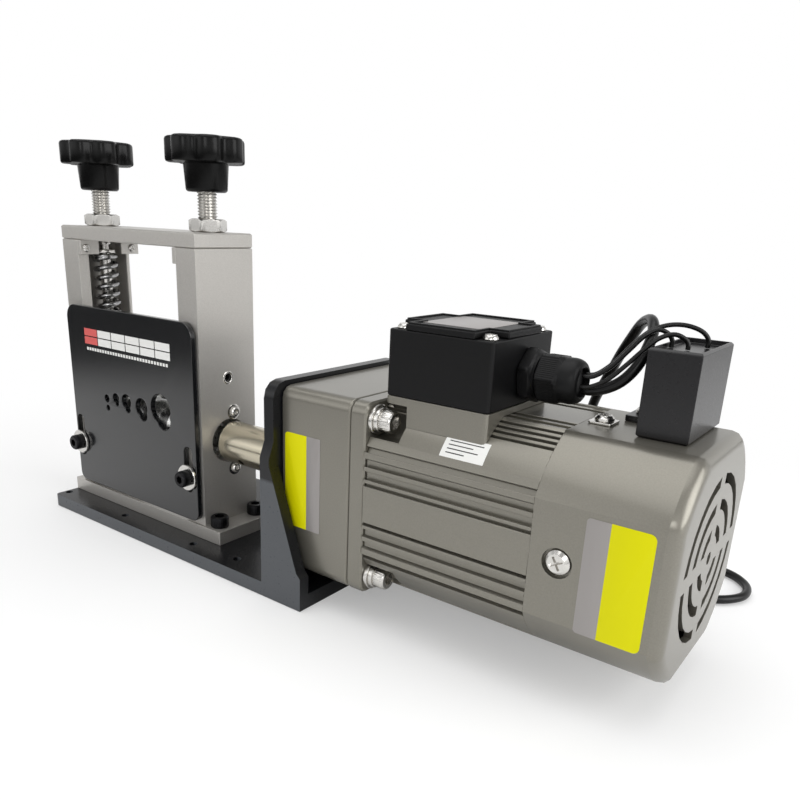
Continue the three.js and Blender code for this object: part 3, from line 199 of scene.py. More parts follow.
# %% Metals and enamel
# Milled aluminium, blasted and clear anodised: a fine matt grain, bright where it turns to light.
# The oxide film scatters part of the light, so grooves and slots stay pale instead of black.
satin_aluminium = grain(finish("anodised_aluminium", "bebbb6", 0.65, 0.36)[0], 0.5, 0.006,
                        roughness=(0.3, 0.44), tint=("b8b5b0", "c4c1bc"))
# Cast aluminium under a warm grey metallic enamel: flakes drawn at 0.6 mm under a clear gloss.
motor_enamel = grain(finish("metallic_enamel", "7f7c75", 0.7, 0.36, 0.3, 0.12)[0], 0.6, 0.004,
                     roughness=(0.28, 0.42), tint=("7c7970", "838077"))
# Satin nickel plate on the coupling sleeve: warm, almost a mirror.
nickel_plate = grain(finish("satin_nickel_plate", "c2bba8", 1.0, 0.2)[0], 0.8, 0.002,
                     roughness=(0.16, 0.26))
# Bright nickel plate on screws, nuts and washers: whiter than the sleeve's, and as shiny.
bright_nickel = grain(finish("bright_nickel_plate", "cfcdc9", 1.0, 0.2)[0], 0.8, 0.002,
                      roughness=(0.16, 0.26))
# Spring wire: drawn steel with a thin plate over it, greyer than the screws.
spring_wire = grain(finish("plated_spring_wire", "a4a4a4", 1.0, 0.24)[0], 0.8, 0.002,
                    roughness=(0.2, 0.3))
# Ground tool steel: cool, with grinding lines across the axis, drawn 0.5 mm apart.
ground_steel = grain(finish("ground_steel", "bcbcba", 1.0, 0.27)[0], 3.0, 0.004, (6, 0.6, 0.6),
                     roughness=(0.22, 0.34))
# Black oxide on the socket screws: a thin dark skin that still shines as steel.
black_oxide = grain(finish("black_oxide", "1a1a1c", 0.85, 0.36)[0], 0.6, 0.003, roughness=(0.3, 0.44))
# The guide plate's black gloss: sprayed and baked, smooth enough to mirror the room.
gloss_coat = grain(finish("black_gloss_coat", "0f1012", 0.0, 0.2, 0.4, 0.06)[0], 4.0, 0.003,
                   roughness=(0.18, 0.24))
metals_and_paints = (satin_aluminium, motor_enamel, nickel_plate, bright_nickel, spring_wire,
                     ground_steel, black_oxide, gloss_coat)
print("metals and paints:", ", ".join(material.name for material in metals_and_paints))

# %% [markdown]
# The rest is plastic, rubber and printed film. Their colours are flat, and their gloss tells them
# apart: mouldings are satin from the mould's grain, phenolic is polished, film is smooth. Black
# plastic looks black only where it mirrors little, so these finishes mirror less than usual.

# %% Plastics, rubber and labels
# Glass-filled nylon mouldings: black, satin, with the mould's fine spark grain, drawn at 0.5 mm.
moulded_black = grain(finish("moulded_nylon", "0c0c0d", 0.0, 0.42, specular=0.2)[0], 0.5, 0.01,
                      roughness=(0.36, 0.5))
# The knobs are phenolic, a little glossier than the nylon.
phenolic_black = grain(finish("phenolic", "080808", 0.0, 0.24, specular=0.16)[0], 1.5, 0.004,
                       roughness=(0.2, 0.3))
# The capacitor's case is smooth flame-proof plastic.
case_plastic = grain(finish("smooth_case_plastic", "0e0d10", 0.0, 0.3, specular=0.5)[0], 1.0, 0.003,
                     roughness=(0.24, 0.34))
# The cover's inside is seen only through the grille. Its dull black is painted shade for the hollow.
painted_shade_inside = grain(finish("painted_shade_black", "0b0b0b", 0.0, 0.7, specular=0.1)[0], 2.0, 0.02)
# PVC sheath on the leads: soft and slightly glossy.
pvc_sheath = grain(finish("pvc_sheath", "0a0a0a", 0.0, 0.34, specular=0.3)[0], 1.0, 0.006,
                   roughness=(0.28, 0.38))
# Printed polyester labels: a thin film with a satin face.
label_yellow = grain(finish("label_film_yellow", "d9d500", 0.0, 0.45, specular=0.15)[0], 2.0, 0.003)
label_grey = grain(finish("label_film_grey", "938f8d", 0.1, 0.34)[0], 2.0, 0.003)
label_white = grain(finish("label_film_white", "e9e9e6", 0.0, 0.34)[0], 2.0, 0.003)
label_red = grain(finish("label_film_red", "d8605c", 0.0, 0.34)[0], 2.0, 0.003)
plastics = (moulded_black, phenolic_black, case_plastic, painted_shade_inside, pvc_sheath)
print("plastics:", ", ".join(material.name for material in plastics))

# %% [markdown]
# ## Pieces
# Every piece that is drawn anew is made in the same way. Its skins are lists of corners and faces
# in millimetres, and they become one mesh in metres. Corners that meet are joined, Blender turns
# all faces outwards, and edges sharper than an angle stay sharp. Then the piece is told which body
# it rides on, which finish it wears, and which imported solids it replaces.

# %% Helpers for pieces
def weld(mesh):
    """Joins the corners that meet, and turns all faces outwards."""
    shape = bmesh.new()
    shape.from_mesh(mesh)
    bmesh.ops.remove_doubles(shape, verts=shape.verts, dist=1e-7)
    bmesh.ops.recalc_face_normals(shape, faces=shape.faces)
    shape.to_mesh(mesh)
    shape.free()


def settle(name, mesh, material, body, replaces=(), smooth=35, inside=None):
    """Links a finished mesh as a piece that rides on its body."""
    mesh.materials.clear()
    mesh.materials.append(material)
    if inside:
        mesh.materials.append(inside)
    mesh.polygons.foreach_set("use_smooth", [True] * len(mesh.polygons))
    mesh.set_sharp_from_angle(angle=math.radians(smooth))
    made = bpy.data.objects.new(name, mesh)
    bpy.context.scene.collection.objects.link(made)
    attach(made, body)
    if replaces:
        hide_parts(*replaces)
    return made


def piece(name, shells, material, body, replaces=(), smooth=35):
    """One object from one or more skins: faces out, smooth but for edges sharper than an angle."""
    mesh = bpy.data.meshes.new(name)
    corners, faces = [], []
    for shell_corners, shell_faces in shells:
        start = len(corners)
        corners += [tuple(c * MM for c in corner) for corner in shell_corners]
        faces += [tuple(i + start for i in face) for face in shell_faces]
    mesh.from_pydata(corners, [], faces)
    weld(mesh)
    return settle(name, mesh, material, body, replaces, smooth)


print("packed solids:", len(frame["nodes"]))

# %% [markdown]
# ## Mains lead
# A flexible lead leaves the gland with the capacitor's wires, loops up and back over the motor's
# shoulder, falls to the bench behind it, shows once beyond the fan cover, and is stored in a flat
# coil of two layers behind the machine. A lead can't bend tighter than about four times its own
# width, so its route is laid out with loose curves, and the tube follows it in one piece.

# %% Route of the mains lead
COIL_CENTRE = (45, 97)
COIL_RADIUS, COIL_PITCH, COIL_TURNS, COIL_STEPS, COIL_TAIL = 33.5, 4.9, 6.5, 24, 24
LEAD_RADIUS, COIL_FLOOR = 2.2, 0.1
LEAD_EXIT = 127.9

coil = []
for i in range(int(COIL_TURNS * COIL_STEPS) + 1):
    turns = i / COIL_STEPS
    angle = math.pi / 2 + 2 * math.pi * turns
    radius = COIL_RADIUS - COIL_PITCH * (COIL_TURNS / 2 - abs(turns - COIL_TURNS / 2))
    climb = min(max(COIL_TURNS - 2 * turns + 0.5, 0), 1)
    coil.append((COIL_CENTRE[0] + radius * math.cos(angle), COIL_CENTRE[1] + radius * math.sin(angle),
                 LEAD_RADIUS + COIL_FLOOR + climb * COIL_PITCH))
coil_end = (coil[-1][0] + COIL_TAIL, coil[-1][1], coil[-1][2])
coil_start = (coil[0][0] + 2 * LEAD_RADIUS, coil[0][1], coil[0][2])
mains_route = [
    (LEAD_EXIT, -5, 118.8), (130, -5, 118.8), (135.7, -4.6, 120.2), (141.7, -3.5, 123.9),
    (146, -1.4, 129.8), (147.7, 2.1, 136.3), (147.5, 7.2, 141.8), (145.1, 13.4, 145.2),
    (141.3, 20, 145.7), (136.5, 25.9, 142.9), (132.1, 29.7, 136.8), (127.9, 32.5, 129.8),
    (124.1, 34.8, 122.3), (120.2, 37, 114.6), (116.1, 40.2, 106.5), (112.6, 44.2, 97.5),
    (109.8, 48.8, 87), (108, 54, 75), (107.4, 59, 62), (107.8, 63.6, 48), (109.8, 68.2, 34),
    (114.2, 72.6, 21), (121.4, 76.8, 11.2), (131.4, 80.6, 5), (143, 83.6, 2.7), (155, 85.4, 2.5),
    (166.6, 88.8, 2.5), (176.8, 95.4, 2.5), (183, 105.6, 2.5), (182.2, 117.4, 2.5),
    (175.2, 126.6, 2.5), (165, 131.2, 2.5), (153, 132, 2.5), (136, 131.4, 2.5), (118, 130.9, 2.6),
    (100, 130.6, 3.2), (82, 130.5, 4.6), (66, 130.5, 6.4), (56, 130.5, 7.1), coil_start,
] + coil + [coil_end]
print("route points:", len(mains_route))

# %% [markdown]
# A lead is a round tube along a path. A centripetal curve through the route's points gives the
# path, because it never loops back between two points that are close. The tube's ring is carried
# from one point to the next without twisting, so its faces stay even round every bend.

# %% Helpers for leads
def smooth_path(points, spacing):
    """A centripetal curve through points, sampled about every spacing millimetres."""
    knots = [Vector(p) for p in points]
    knots = [knots[0] * 2 - knots[1]] + knots + [knots[-1] * 2 - knots[-2]]
    path = []
    for p0, p1, p2, p3 in zip(knots, knots[1:], knots[2:], knots[3:]):
        d0, d1, d2 = (max((b - a).length ** 0.5, 1e-4) for a, b in ((p0, p1), (p1, p2), (p2, p3)))
        start = ((p1 - p0) / d0 - (p2 - p0) / (d0 + d1) + (p2 - p1) / d1) * d1
        end = ((p2 - p1) / d1 - (p3 - p1) / (d1 + d2) + (p3 - p2) / d2) * d1
        steps = max(2, round((p2 - p1).length / spacing))
        for i in range(steps):
            t = i / steps
            path.append(p1 + start * t + (3 * (p2 - p1) - 2 * start - end) * t * t
                        + (2 * (p1 - p2) + start + end) * t ** 3)
    path.append(knots[-2])
    return path


def tube(path, radius, sides=16):
    """A skin round a path; its ring is carried along without twisting."""
    corners, faces = [], []
    across = Vector((0, 0, 1))
    if abs((path[1] - path[0]).normalized().z) > 0.7:
        across = Vector((1, 0, 0))
    for i, centre in enumerate(path):
        along = (path[min(i + 1, len(path) - 1)] - path[max(i - 1, 0)]).normalized()
        across = (across - along * along.dot(across)).normalized()
        other = along.cross(across)
        for k in range(sides):
            angle = 2 * math.pi * k / sides
            corners.append(tuple(centre + (across * math.cos(angle) + other * math.sin(angle)) * radius))
    for i in range(len(path) - 1):
        for k in range(sides):
            a, b = i * sides + k, i * sides + (k + 1) % sides
            faces.append((a, b, b + sides, a + sides))
    last = (len(path) - 1) * sides
    faces.append(tuple(range(sides)))
    faces.append(tuple(last + k for k in reversed(range(sides))))
    return corners, faces


def path_length(path):
    """The length of a path, in millimetres."""
    return sum((b - a).length for a, b in zip(path, path[1:]))


print("length of the route, m:", round(path_length([Vector(p) for p in mains_route]) * MM, 3))

# %% [markdown]
# The mains lead is one tube over the whole of its route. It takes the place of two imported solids,
# the cord and its stored coil.

# %% Make the mains lead
mains_path = smooth_path(mains_route, 2.0)
mains_lead = piece("mains_lead", [tube(mains_path, LEAD_RADIUS)], pvc_sheath, "machine",
                   ("mains_cord", "mains_coil"), smooth=80)
print("mains lead, m:", round(path_length(mains_path) * MM, 3))

# %% [markdown]
# Three thin wires join the capacitor to the terminals: out of the gland, up in an arch, and down
# into the mouth of its case. Each is limp and hangs in a loose curve of its own.

# %% Capacitor leads
WIRE_RADIUS = 0.9
leads = [
    [(LEAD_EXIT, -7.6, 124.4), (129.4, -7.6, 124.4), (132, -7.4, 125), (137.6, -6, 129.2), (143, -4, 136),
     (147.4, -1.6, 141.8), (151.4, 1, 144.4), (154.6, 3.2, 143), (156, 4.2, 140.6), (156, 4.2, 138.1)],
    [(LEAD_EXIT, -5, 124.9), (129.4, -5, 124.9), (132, -4.7, 125.6), (137.6, -2.8, 130.6), (143, 0, 138),
     (147.6, 3.2, 143.2), (153, 6.6, 145.8), (159, 10, 146), (164.4, 13, 143.8), (166.4, 14.2, 141),
     (166.4, 14.2, 138.1)],
    [(LEAD_EXIT, -9.4, 120.6), (129.4, -9.4, 120.6), (132, -9.4, 121.2), (137.6, -8.8, 124.4),
     (143.6, -7.6, 130.6), (149, -5.4, 137.2), (153.6, -2.6, 142), (158, 0.4, 143.4), (161.6, 2.6, 141.4),
     (162.4, 3, 139.6), (162.4, 3, 138.1)],
]
for i, route in enumerate(leads, 1):
    path = smooth_path(route, 1.0)
    made = piece(f"capacitor_wire_{i}", [tube(path, WIRE_RADIUS, 12)], pvc_sheath, "machine",
                 (f"capacitor_lead_{i}",), smooth=80)
print("capacitor leads:", len(leads))

# %% [markdown]
# The stored coil is held by a hook-and-loop tie: a flat strap, once round all the turns.
# Its section is a loop of points with rounded corners, and so are the outlines of the plates and
# labels further on.

# %% Helpers for flat outlines
def arc(u, v, radius, start, stop, steps):
    """Points on an arc round (u, v), between two angles in degrees."""
    angles = [math.radians(start + (stop - start) * i / steps) for i in range(steps + 1)]
    return [(u + radius * math.cos(angle), v + radius * math.sin(angle)) for angle in angles]


def rounded(u0, u1, v0, v1, radii, steps=10):
    """A rectangle with four radii, from its lower right corner anticlockwise."""
    r0, r1, r2, r3 = radii
    return (arc(u1 - r0, v0 + r0, r0, -90, 0, steps) + arc(u1 - r1, v1 - r1, r1, 0, 90, steps)
            + arc(u0 + r2, v1 - r2, r2, 90, 180, steps) + arc(u0 + r3, v0 + r3, r3, 180, 270, steps))


print("points on a rounded rectangle:", len(rounded(0, 20, 0, 10, (2, 2, 2, 2))))

# %% [markdown]
# The tie's loop goes up round the outermost turn, over all of them and down the middle of the
# coil. Two such loops, one the strap's thickness outside the other, make its skin. Under the coil
# the strap is pressed thinner.

# %% Tie round the coil
TIE_WIDTH, TIE_THICK = 9, 0.8
TIE_UNDER, TIE_PRESSED = 0.55, 0.6
coil_in = COIL_RADIUS - COIL_PITCH * COIL_TURNS / 2 - LEAD_RADIUS
coil_out = COIL_RADIUS + LEAD_RADIUS
coil_top = 2 * LEAD_RADIUS + COIL_FLOOR + COIL_PITCH


def tie_loop(grow):
    """The strap's section path in (distance from the coil's centre, height), with rounded corners."""
    return rounded(coil_in - grow, coil_out + grow, TIE_UNDER - grow * TIE_PRESSED,
                   coil_top + grow, (2.2, 2.4, 2.4, 2.2), 5)


inner, outer = tie_loop(0), tie_loop(TIE_THICK)
corners = [(COIL_CENTRE[0] - u, COIL_CENTRE[1] + y, v) for y in (-TIE_WIDTH / 2, TIE_WIDTH / 2)
           for u, v in inner + outer]
count, faces = len(inner), []
for i in range(count):
    k = (i + 1) % count
    faces += [(i, k, count + k, count + i), (2 * count + i, 3 * count + i, 3 * count + k, 2 * count + k),
              (i, 2 * count + i, 2 * count + k, k), (count + i, count + k, 3 * count + k, 3 * count + i)]
piece("coil_tie", [(corners, faces)], moulded_black, "machine", smooth=40)
print("tie height, mm:", round(coil_top + TIE_THICK, 1))

# %% [markdown]
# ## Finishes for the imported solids
# Most castings, plates and blocks already have their true shape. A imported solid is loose
# triangles, so a copy is joined up first and its flat faces are made whole. A bevel then rounds
# the edges that catch light, and normals weighted by area keep the flat faces flat.

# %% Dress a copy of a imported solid
body_of_node = {node: body for body, nodes in frame["record"]["behaviour"]["bodies"].items()
                for node in nodes}
slot_of_node = {row["node"]: row["material_slot"] for row in frame["record"]["subparts"]}
SHARP_FROM, FLAT_WITHIN = 32, 0.4


def dress(node, material, bevel_mm=0.0, segments=2, inside=None, is_inside=None):
    """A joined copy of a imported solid, with its finish and with rounded edges."""
    solid = frame["nodes"][node]
    mesh = solid.data.copy()
    mesh.transform(solid.matrix_world)
    shape = bmesh.new()
    shape.from_mesh(mesh)
    bmesh.ops.remove_doubles(shape, verts=shape.verts, dist=1e-6)
    bmesh.ops.dissolve_limit(shape, angle_limit=math.radians(FLAT_WITHIN), verts=shape.verts,
                             edges=shape.edges)
    for face in shape.faces:
        face.material_index = int(bool(is_inside and is_inside(face.calc_center_median() / MM)))
    shape.to_mesh(mesh)
    shape.free()
    made = settle(f"{node}_finished", mesh, material, body_of_node[node], (node,),
                  SHARP_FROM, inside)
    if bevel_mm:
        bevel = made.modifiers.new("edges", "BEVEL")
        bevel.width = bevel_mm * MM
        bevel.segments = segments
        bevel.limit_method = "ANGLE"
        bevel.angle_limit = math.radians(SHARP_FROM)
    weighted = made.modifiers.new("normals", "WEIGHTED_NORMAL")
    weighted.keep_sharp = True
    return made


print("solids that have a slot:", len(slot_of_node))

# %% [markdown]
# The aluminium blocks get a crisp edge of half a millimetre, the castings a softer one, and the
# barrel with its thin fins hardly any. The fan cover takes two finishes: enamel outside, and painted
# shade, a dull black, for its hollow. A face belongs to the hollow where its middle lies inside the walls.

# %% Dress the solids
AXIS_Z = 61
COVER_END, COVER_HALF, COVER_WALL, COVER_END_WALL, COVER_CORNER = 183.8, 45.4, 3.4, 2.9, 48


def in_cover(at):
    """Whether a point, in millimetres, lies in the fan cover's hollow."""
    half = COVER_HALF - COVER_WALL
    return (at.x < COVER_END - COVER_END_WALL and abs(at.y) < half and abs(at.z - AXIS_Z) < half
            and math.hypot(at.y, at.z - AXIS_Z) < COVER_CORNER)


for node in ("stripper_base", "left_pillar", "right_pillar", "crossbar"):
    dress(node, satin_aluminium, 0.5)
for node in ("left_front_retainer", "left_rear_retainer", "right_front_retainer", "right_rear_retainer"):
    dress(node, satin_aluminium, 0.3)
dress("base_bracket", slate_coat, 0.7)
for node in ("gearhead_housing", "motor_flange", "terminal_base"):
    dress(node, motor_enamel, 0.6)
dress("motor_body", motor_enamel, 0.2, 1)
# The faces of the cover's hollow get painted shade, a dull black
dress("fan_cover", motor_enamel, 0.3, 2, painted_shade_inside, in_cover)
dress("terminal_box", moulded_black, 0.6)
dress("terminal_lid", moulded_black, 0.5)
dress("capacitor_case", case_plastic, 0.4)
for node in ("left_slider", "right_slider"):
    dress(node, ground_steel, 0.4)
for node in ("output_shaft", "rotor_shaft"):
    dress(node, ground_steel)
dress("cooling_fan", moulded_black)
dress("mains_plug", pvc_sheath, 0.5)

# %% [markdown]
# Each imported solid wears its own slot's finish as well, for whoever shows it in place of a piece.

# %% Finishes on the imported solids
finish_of_slot = {
    "dark_steel": slate_coat, "satin_aluminium": satin_aluminium, "motor_grey": motor_enamel,
    "nickel": bright_nickel, "bright_steel": ground_steel, "black_oxide": black_oxide,
    "black_plastic": moulded_black, "black_gloss": gloss_coat, "black_rubber": pvc_sheath,
}
for node, solid in frame["nodes"].items():
    solid.data.materials.clear()
    solid.data.materials.append(finish_of_slot[slot_of_node[node]])
print("slots:", ", ".join(finish_of_slot))

# %% [markdown]
# The stored coil holds a given number of turns of the mains lead.

print("turns stored in the coil:", COIL_TURNS)

# %% [markdown]
# ## Shapes from rings
# Knobs, screws, nuts, rollers and glands are all rings stacked along an axis. A ring's radius is
# a number where it is round, or a function of the angle for a star, a hexagon or a cross-shaped
# recess. Joining each ring to the next gives a closed skin.

# %% Helper for rings
AXES = {
    "z": lambda a, b, along: (a, b, along),
    "-z": lambda a, b, along: (a, b, -along),
    "x": lambda a, b, along: (along, a, b),
    "-x": lambda a, b, along: (-along, a, b),
    "y": lambda a, b, along: (a, along, b),
    "-y": lambda a, b, along: (a, -along, b),
}


def ringed(rings, axis="z", place=(0, 0, 0), sides=64, turn=0.0):
    """Corners and faces of a skin through rings of (radius, along), in millimetres."""
    corners, faces, rows = [], [], []
    for radius, along in rings:
        if radius == 0:
            rows.append([len(corners)])
            corners.append(AXES[axis](0, 0, along))
            continue
        row = []
        for i in range(sides):
            angle = 2 * math.pi * i / sides
            reach = radius(angle) if callable(radius) else radius
            row.append(len(corners))
            across, aside = reach * math.cos(angle + turn), reach * math.sin(angle + turn)
            corners.append(AXES[axis](across, aside, along))
        rows.append(row)
    for low, high in zip(rows, rows[1:]):
        for i in range(sides):
            k = (i + 1) % sides
            if len(low) == 1:
                faces.append((low[0], high[i], high[k]))
            elif len(high) == 1:
                faces.append((low[i], low[k], high[0]))
            else:
                faces.append((low[i], low[k], high[k], high[i]))
    return [tuple(c + p for c, p in zip(corner, place)) for corner in corners], faces


print("corners of a cone with its tip:", len(ringed([(5, 0), (0, 9)])[0]))

# %% [markdown]
# ## Knobs
# Each adjusting screw ends in a moulded star knob: a disc with seven lobes to grip, on a tapered
# hub. The star is a ring whose radius swings round the circle. Rounded shoulders between the
# rings give the soft edges of a moulding.

# %% Make the knobs
STRIPPER_X, SHAFT_Y = -124.8, -18
SCREW_REACH = 46.5
LOBES, LOBE_MIDDLE, LOBE_SWING, LOBE_SHARPNESS = 7, 18.4, 1.6, 2.2
HUB_BOTTOM, DISC_BOTTOM, DISC_TOP = 189.5, 203, 215
sides_of = (("left", -1), ("right", 1))
screw_place = {name: (STRIPPER_X + side * SCREW_REACH, SHAFT_Y, 0) for name, side in sides_of}


def star(inset):
    """A lobed outline: broad rounded lobes with narrow hollows between them."""
    def radius(angle):
        wave = math.cos(LOBES * angle)
        return LOBE_MIDDLE - inset + LOBE_SWING * (1 - 2 * ((1 - wave) / 2) ** LOBE_SHARPNESS)
    return radius


hub = [(0, HUB_BOTTOM), (9.4, HUB_BOTTOM), (10.2, HUB_BOTTOM + 0.6), (10.5, HUB_BOTTOM + 1.5),
       (11.3, DISC_BOTTOM - 0.4), (12.2, DISC_BOTTOM)]
disc = [(star(1.2), DISC_BOTTOM), (star(0.35), DISC_BOTTOM + 0.4), (star(0), DISC_BOTTOM + 1.3),
        (star(0), DISC_TOP - 1.6), (star(0.4), DISC_TOP - 0.6), (star(1.5), DISC_TOP),
        (12, DISC_TOP + 0.5), (6, DISC_TOP + 0.9), (0, DISC_TOP + 1)]
for name, side in sides_of:
    knob = ringed(hub + disc, place=screw_place[name], sides=24 * LOBES, turn=0.3 * side)
    piece(f"{name}_star_knob", [knob], phenolic_black, f"{name}_adjuster",
          (f"{name}_knob",), smooth=40)
print("knobs: 2, height in mm:", DISC_TOP + 1 - HUB_BOTTOM)

# %% [markdown]
# ## Threads, nuts and springs
# The adjusting screws are M10 threaded rods. A thread is one ridge wound round the rod, so a skin
# whose radius depends on both angle and height gives it in one piece.

# %% Helper for threads
THREAD_PITCH, THREAD_RADIUS, THREAD_DEPTH = 1.5, 5.0, 0.75


def threaded(low, high, place, sides=32, per_pitch=8):
    """A thread between two heights, fading to its root at both ends."""
    rows = int((high - low) / THREAD_PITCH * per_pitch)
    corners, faces = [], []
    for row in range(rows + 1):
        height = low + (high - low) * row / rows
        fade = min(1, (height - low) / THREAD_PITCH, (high - height) / THREAD_PITCH)
        for i in range(sides):
            phase = (height / THREAD_PITCH - i / sides) % 1
            # The ridge is stretched and cut off, which leaves a narrow flat at its crest and its root
            ridge = min(1, max(0, 1.3 * (1 - abs(2 * phase - 1)) - 0.15))
            radius = THREAD_RADIUS - THREAD_DEPTH * (1 - ridge * fade)
            angle = 2 * math.pi * i / sides
            corners.append((place[0] + radius * math.cos(angle),
                            place[1] + radius * math.sin(angle), height))
    for row in range(rows):
        for i in range(sides):
            a, b = row * sides + i, row * sides + (i + 1) % sides
            faces.append((a, b, b + sides, a + sides))
    faces.append(tuple(reversed(range(sides))))
    faces.append(tuple(rows * sides + i for i in range(sides)))
    return corners, faces


print("mm across the thread's root:", 2 * (THREAD_RADIUS - THREAD_DEPTH))

# %% [markdown]
# Below the thread, a collar holds the spring, and a thin stem goes down through the spring into
# the slider.

# %% Make the adjusting screws
THREAD_END, SCREW_TOP = 160.1, 207
COLLAR_TOP, COLLAR_BOTTOM, SLIDER_TOP = 157.1, 155.1, 107.5
stem = [(0, SLIDER_TOP - 3.7), (3.1, SLIDER_TOP - 3.7), (3.4, SLIDER_TOP - 3.4), (3.4, COLLAR_BOTTOM),
        (6.1, COLLAR_BOTTOM), (6.4, COLLAR_BOTTOM + 0.3), (6.4, COLLAR_TOP - 0.3), (6.1, COLLAR_TOP),
        (3, COLLAR_TOP), (3, THREAD_END + 0.5), (0, THREAD_END + 0.5)]
for name, _ in sides_of:
    shells = [ringed(stem, place=screw_place[name]), threaded(THREAD_END, SCREW_TOP, screw_place[name])]
    piece(f"{name}_threaded_screw", shells, bright_nickel, f"{name}_adjuster",
          (f"{name}_adjusting_screw",), smooth=50)
print("adjusting screws: 2, turns of thread:", round((SCREW_TOP - THREAD_END) / THREAD_PITCH, 1))

# %% [markdown]
# A hexagon is a ring as well, if its radius follows the angle: short in the middle of a flat, and
# long at a corner. Cutting the radius back to a limit turns the corners off.

# %% Helpers for hexagons
def polygon(across_flats, count=6, turn=0.0):
    """A ring's radius for a regular polygon, such as a hexagon of that width across its flats."""
    step = 2 * math.pi / count
    return lambda angle: across_flats / 2 / math.cos((angle - turn + step / 2) % step - step / 2)


def chamfered(shape, limit):
    """The same outline with its corners cut back to a circle."""
    return lambda angle: min(shape(angle), limit)


print("mm across a 10 mm hexagon's corners:", round(2 * polygon(10)(math.pi / 6), 2))

# %% [markdown]
# The lock nuts are hexagons whose corners are turned off at 30 degrees. That cone meets each flat
# in an arc, which is what makes a nut look like a nut. Here a few rings follow the cone, and each
# is the hexagon cut back to a circle.

# %% Make the lock nuts
NUT_ACROSS, NUT_LOW, NUT_HIGH, NUT_BORE, NUT_CONE = 17, 170.2, 176.7, 5.1, math.radians(30)


def nut_rings(across, low, high, bore):
    """A hexagon turned off at both ends by a cone, which leaves an arc on each flat."""
    hexagon, start = polygon(across), across / 2 * 0.96
    drop = (across / math.sqrt(3) - start) * math.tan(NUT_CONE)
    cone = [(chamfered(hexagon, start + drop * share / math.tan(NUT_CONE)), drop * share)
            for share in (0, 0.25, 0.5, 0.75, 1)]
    rings = [(bore, low)] + [(ring, low + rise) for ring, rise in cone]
    rings += [(ring, high - rise) for ring, rise in reversed(cone)]
    return rings + [(bore + 0.6, high), (bore, high - 0.6), (bore, low)]


for name, _ in sides_of:
    nut = ringed(nut_rings(NUT_ACROSS, NUT_LOW, NUT_HIGH, NUT_BORE), place=screw_place[name],
                 sides=96, turn=math.pi / 6)
    piece(f"{name}_hex_nut", [nut], bright_nickel, "machine", (f"{name}_lock_nut",), smooth=30)
print("lock nuts: 2, mm across the flats:", NUT_ACROSS)

# %% [markdown]
# A spring is wire wound at a steady pitch, with one closed coil at each end to stand flat. The
# tube helper needs only its path: the turns climb evenly, and the first and the last hardly at all.

# %% Wind the springs
SPRING_RADIUS, SPRING_WIRE, SPRING_CURLS, SPRING_STEPS = 6.0, 1.3, 8, 36
spring_low, spring_high = SLIDER_TOP + 0.3 + SPRING_WIRE, COLLAR_BOTTOM - 0.3 - SPRING_WIRE


def spring_path(x):
    """Closed end coils and an even pitch between them."""
    path = []
    for i in range((SPRING_CURLS + 2) * SPRING_STEPS + 1):
        turns = i / SPRING_STEPS
        open_share = min(max(turns - 1, 0), SPRING_CURLS) / SPRING_CURLS
        closed = min(turns, 1) + max(turns - 1 - SPRING_CURLS, 0)
        height = spring_low + closed * 0.35 * SPRING_WIRE
        height += open_share * (spring_high - spring_low - 0.7 * SPRING_WIRE)
        angle = 2 * math.pi * turns
        path.append(Vector((x + SPRING_RADIUS * math.cos(angle),
                            SHAFT_Y + SPRING_RADIUS * math.sin(angle), height)))
    return path


for name, _ in sides_of:
    piece(f"{name}_coil_spring", [tube(spring_path(screw_place[name][0]), SPRING_WIRE, 12)],
          spring_wire, "carriage", (f"{name}_spring",), smooth=80)
print("springs: 2, m of wire in each:", round(path_length(spring_path(0)) * MM, 3))

# %% [markdown]
# ## Screws
# Socket-head screws clamp the motor, the guide plate and the pillars' foot. One recipe makes them
# all: a shank, washers if it has any, and a head with a knurled side and a hexagon socket. The
# fine knurl is drawn as shallow flutes.

# %% Recipe for socket screws
def knurled(radius, count=30, depth=0.14):
    """A ring's radius with shallow flutes."""
    return lambda angle: radius - depth * (0.5 - 0.5 * math.cos(count * angle))


def cap_screw(place, axis, shank, length, head, height, socket, washers=(), turn=0.0):
    """Skins of a socket-head screw; along 0 is the face it clamps, and its head is on the + side."""
    shells = [ringed([(0, -length), (shank, -length), (shank, 0.2), (0, 0.2)], axis, place, 32)]
    low = 0
    for radius, thick in washers:
        shells.append(ringed([
            (shank, low), (radius - 0.25, low), (radius, low + 0.25), (radius, low + thick - 0.3),
            (radius - 0.3, low + thick), (shank, low + thick), (shank, low)], axis, place, 64))
        low += thick
    top = low + height
    hole = polygon(socket)
    shells.append(ringed([
        (0, low), (head - 0.3, low), (knurled(head), low + 0.35), (knurled(head), top - 0.8),
        (head - 0.25, top - 0.45), (head - 0.7, top), (chamfered(hole, socket * 0.57), top),
        (hole, top - 0.35), (hole, top - height * 0.55), (0, top - height * 0.68)],
        axis, place, 120, turn))
    return shells


print("a knurled head of 10 mm, mm across its flutes:", round(2 * knurled(5)(math.pi / 30), 2))

# %% [markdown]
# The motor's four screws are bright, and each has a flat washer under a spring washer. The guide
# plate's two and the foot's two are black. A guide screw's bright washer is a piece of its own,
# because it has another finish than its screw. It leaves the plate a little play to slide.

# %% Make the socket screws
MOTOR_BOLT, FLANGE_BACK = 36.8, 49.7
GUIDE_SCREW_X, GUIDE_SCREW_Z, PLATE_FRONT, PLATE_PLAY = 50.5, 43, -40.95, 0.3
FOOT_SCREW_X, FOOT_TOP = -61, 15.2

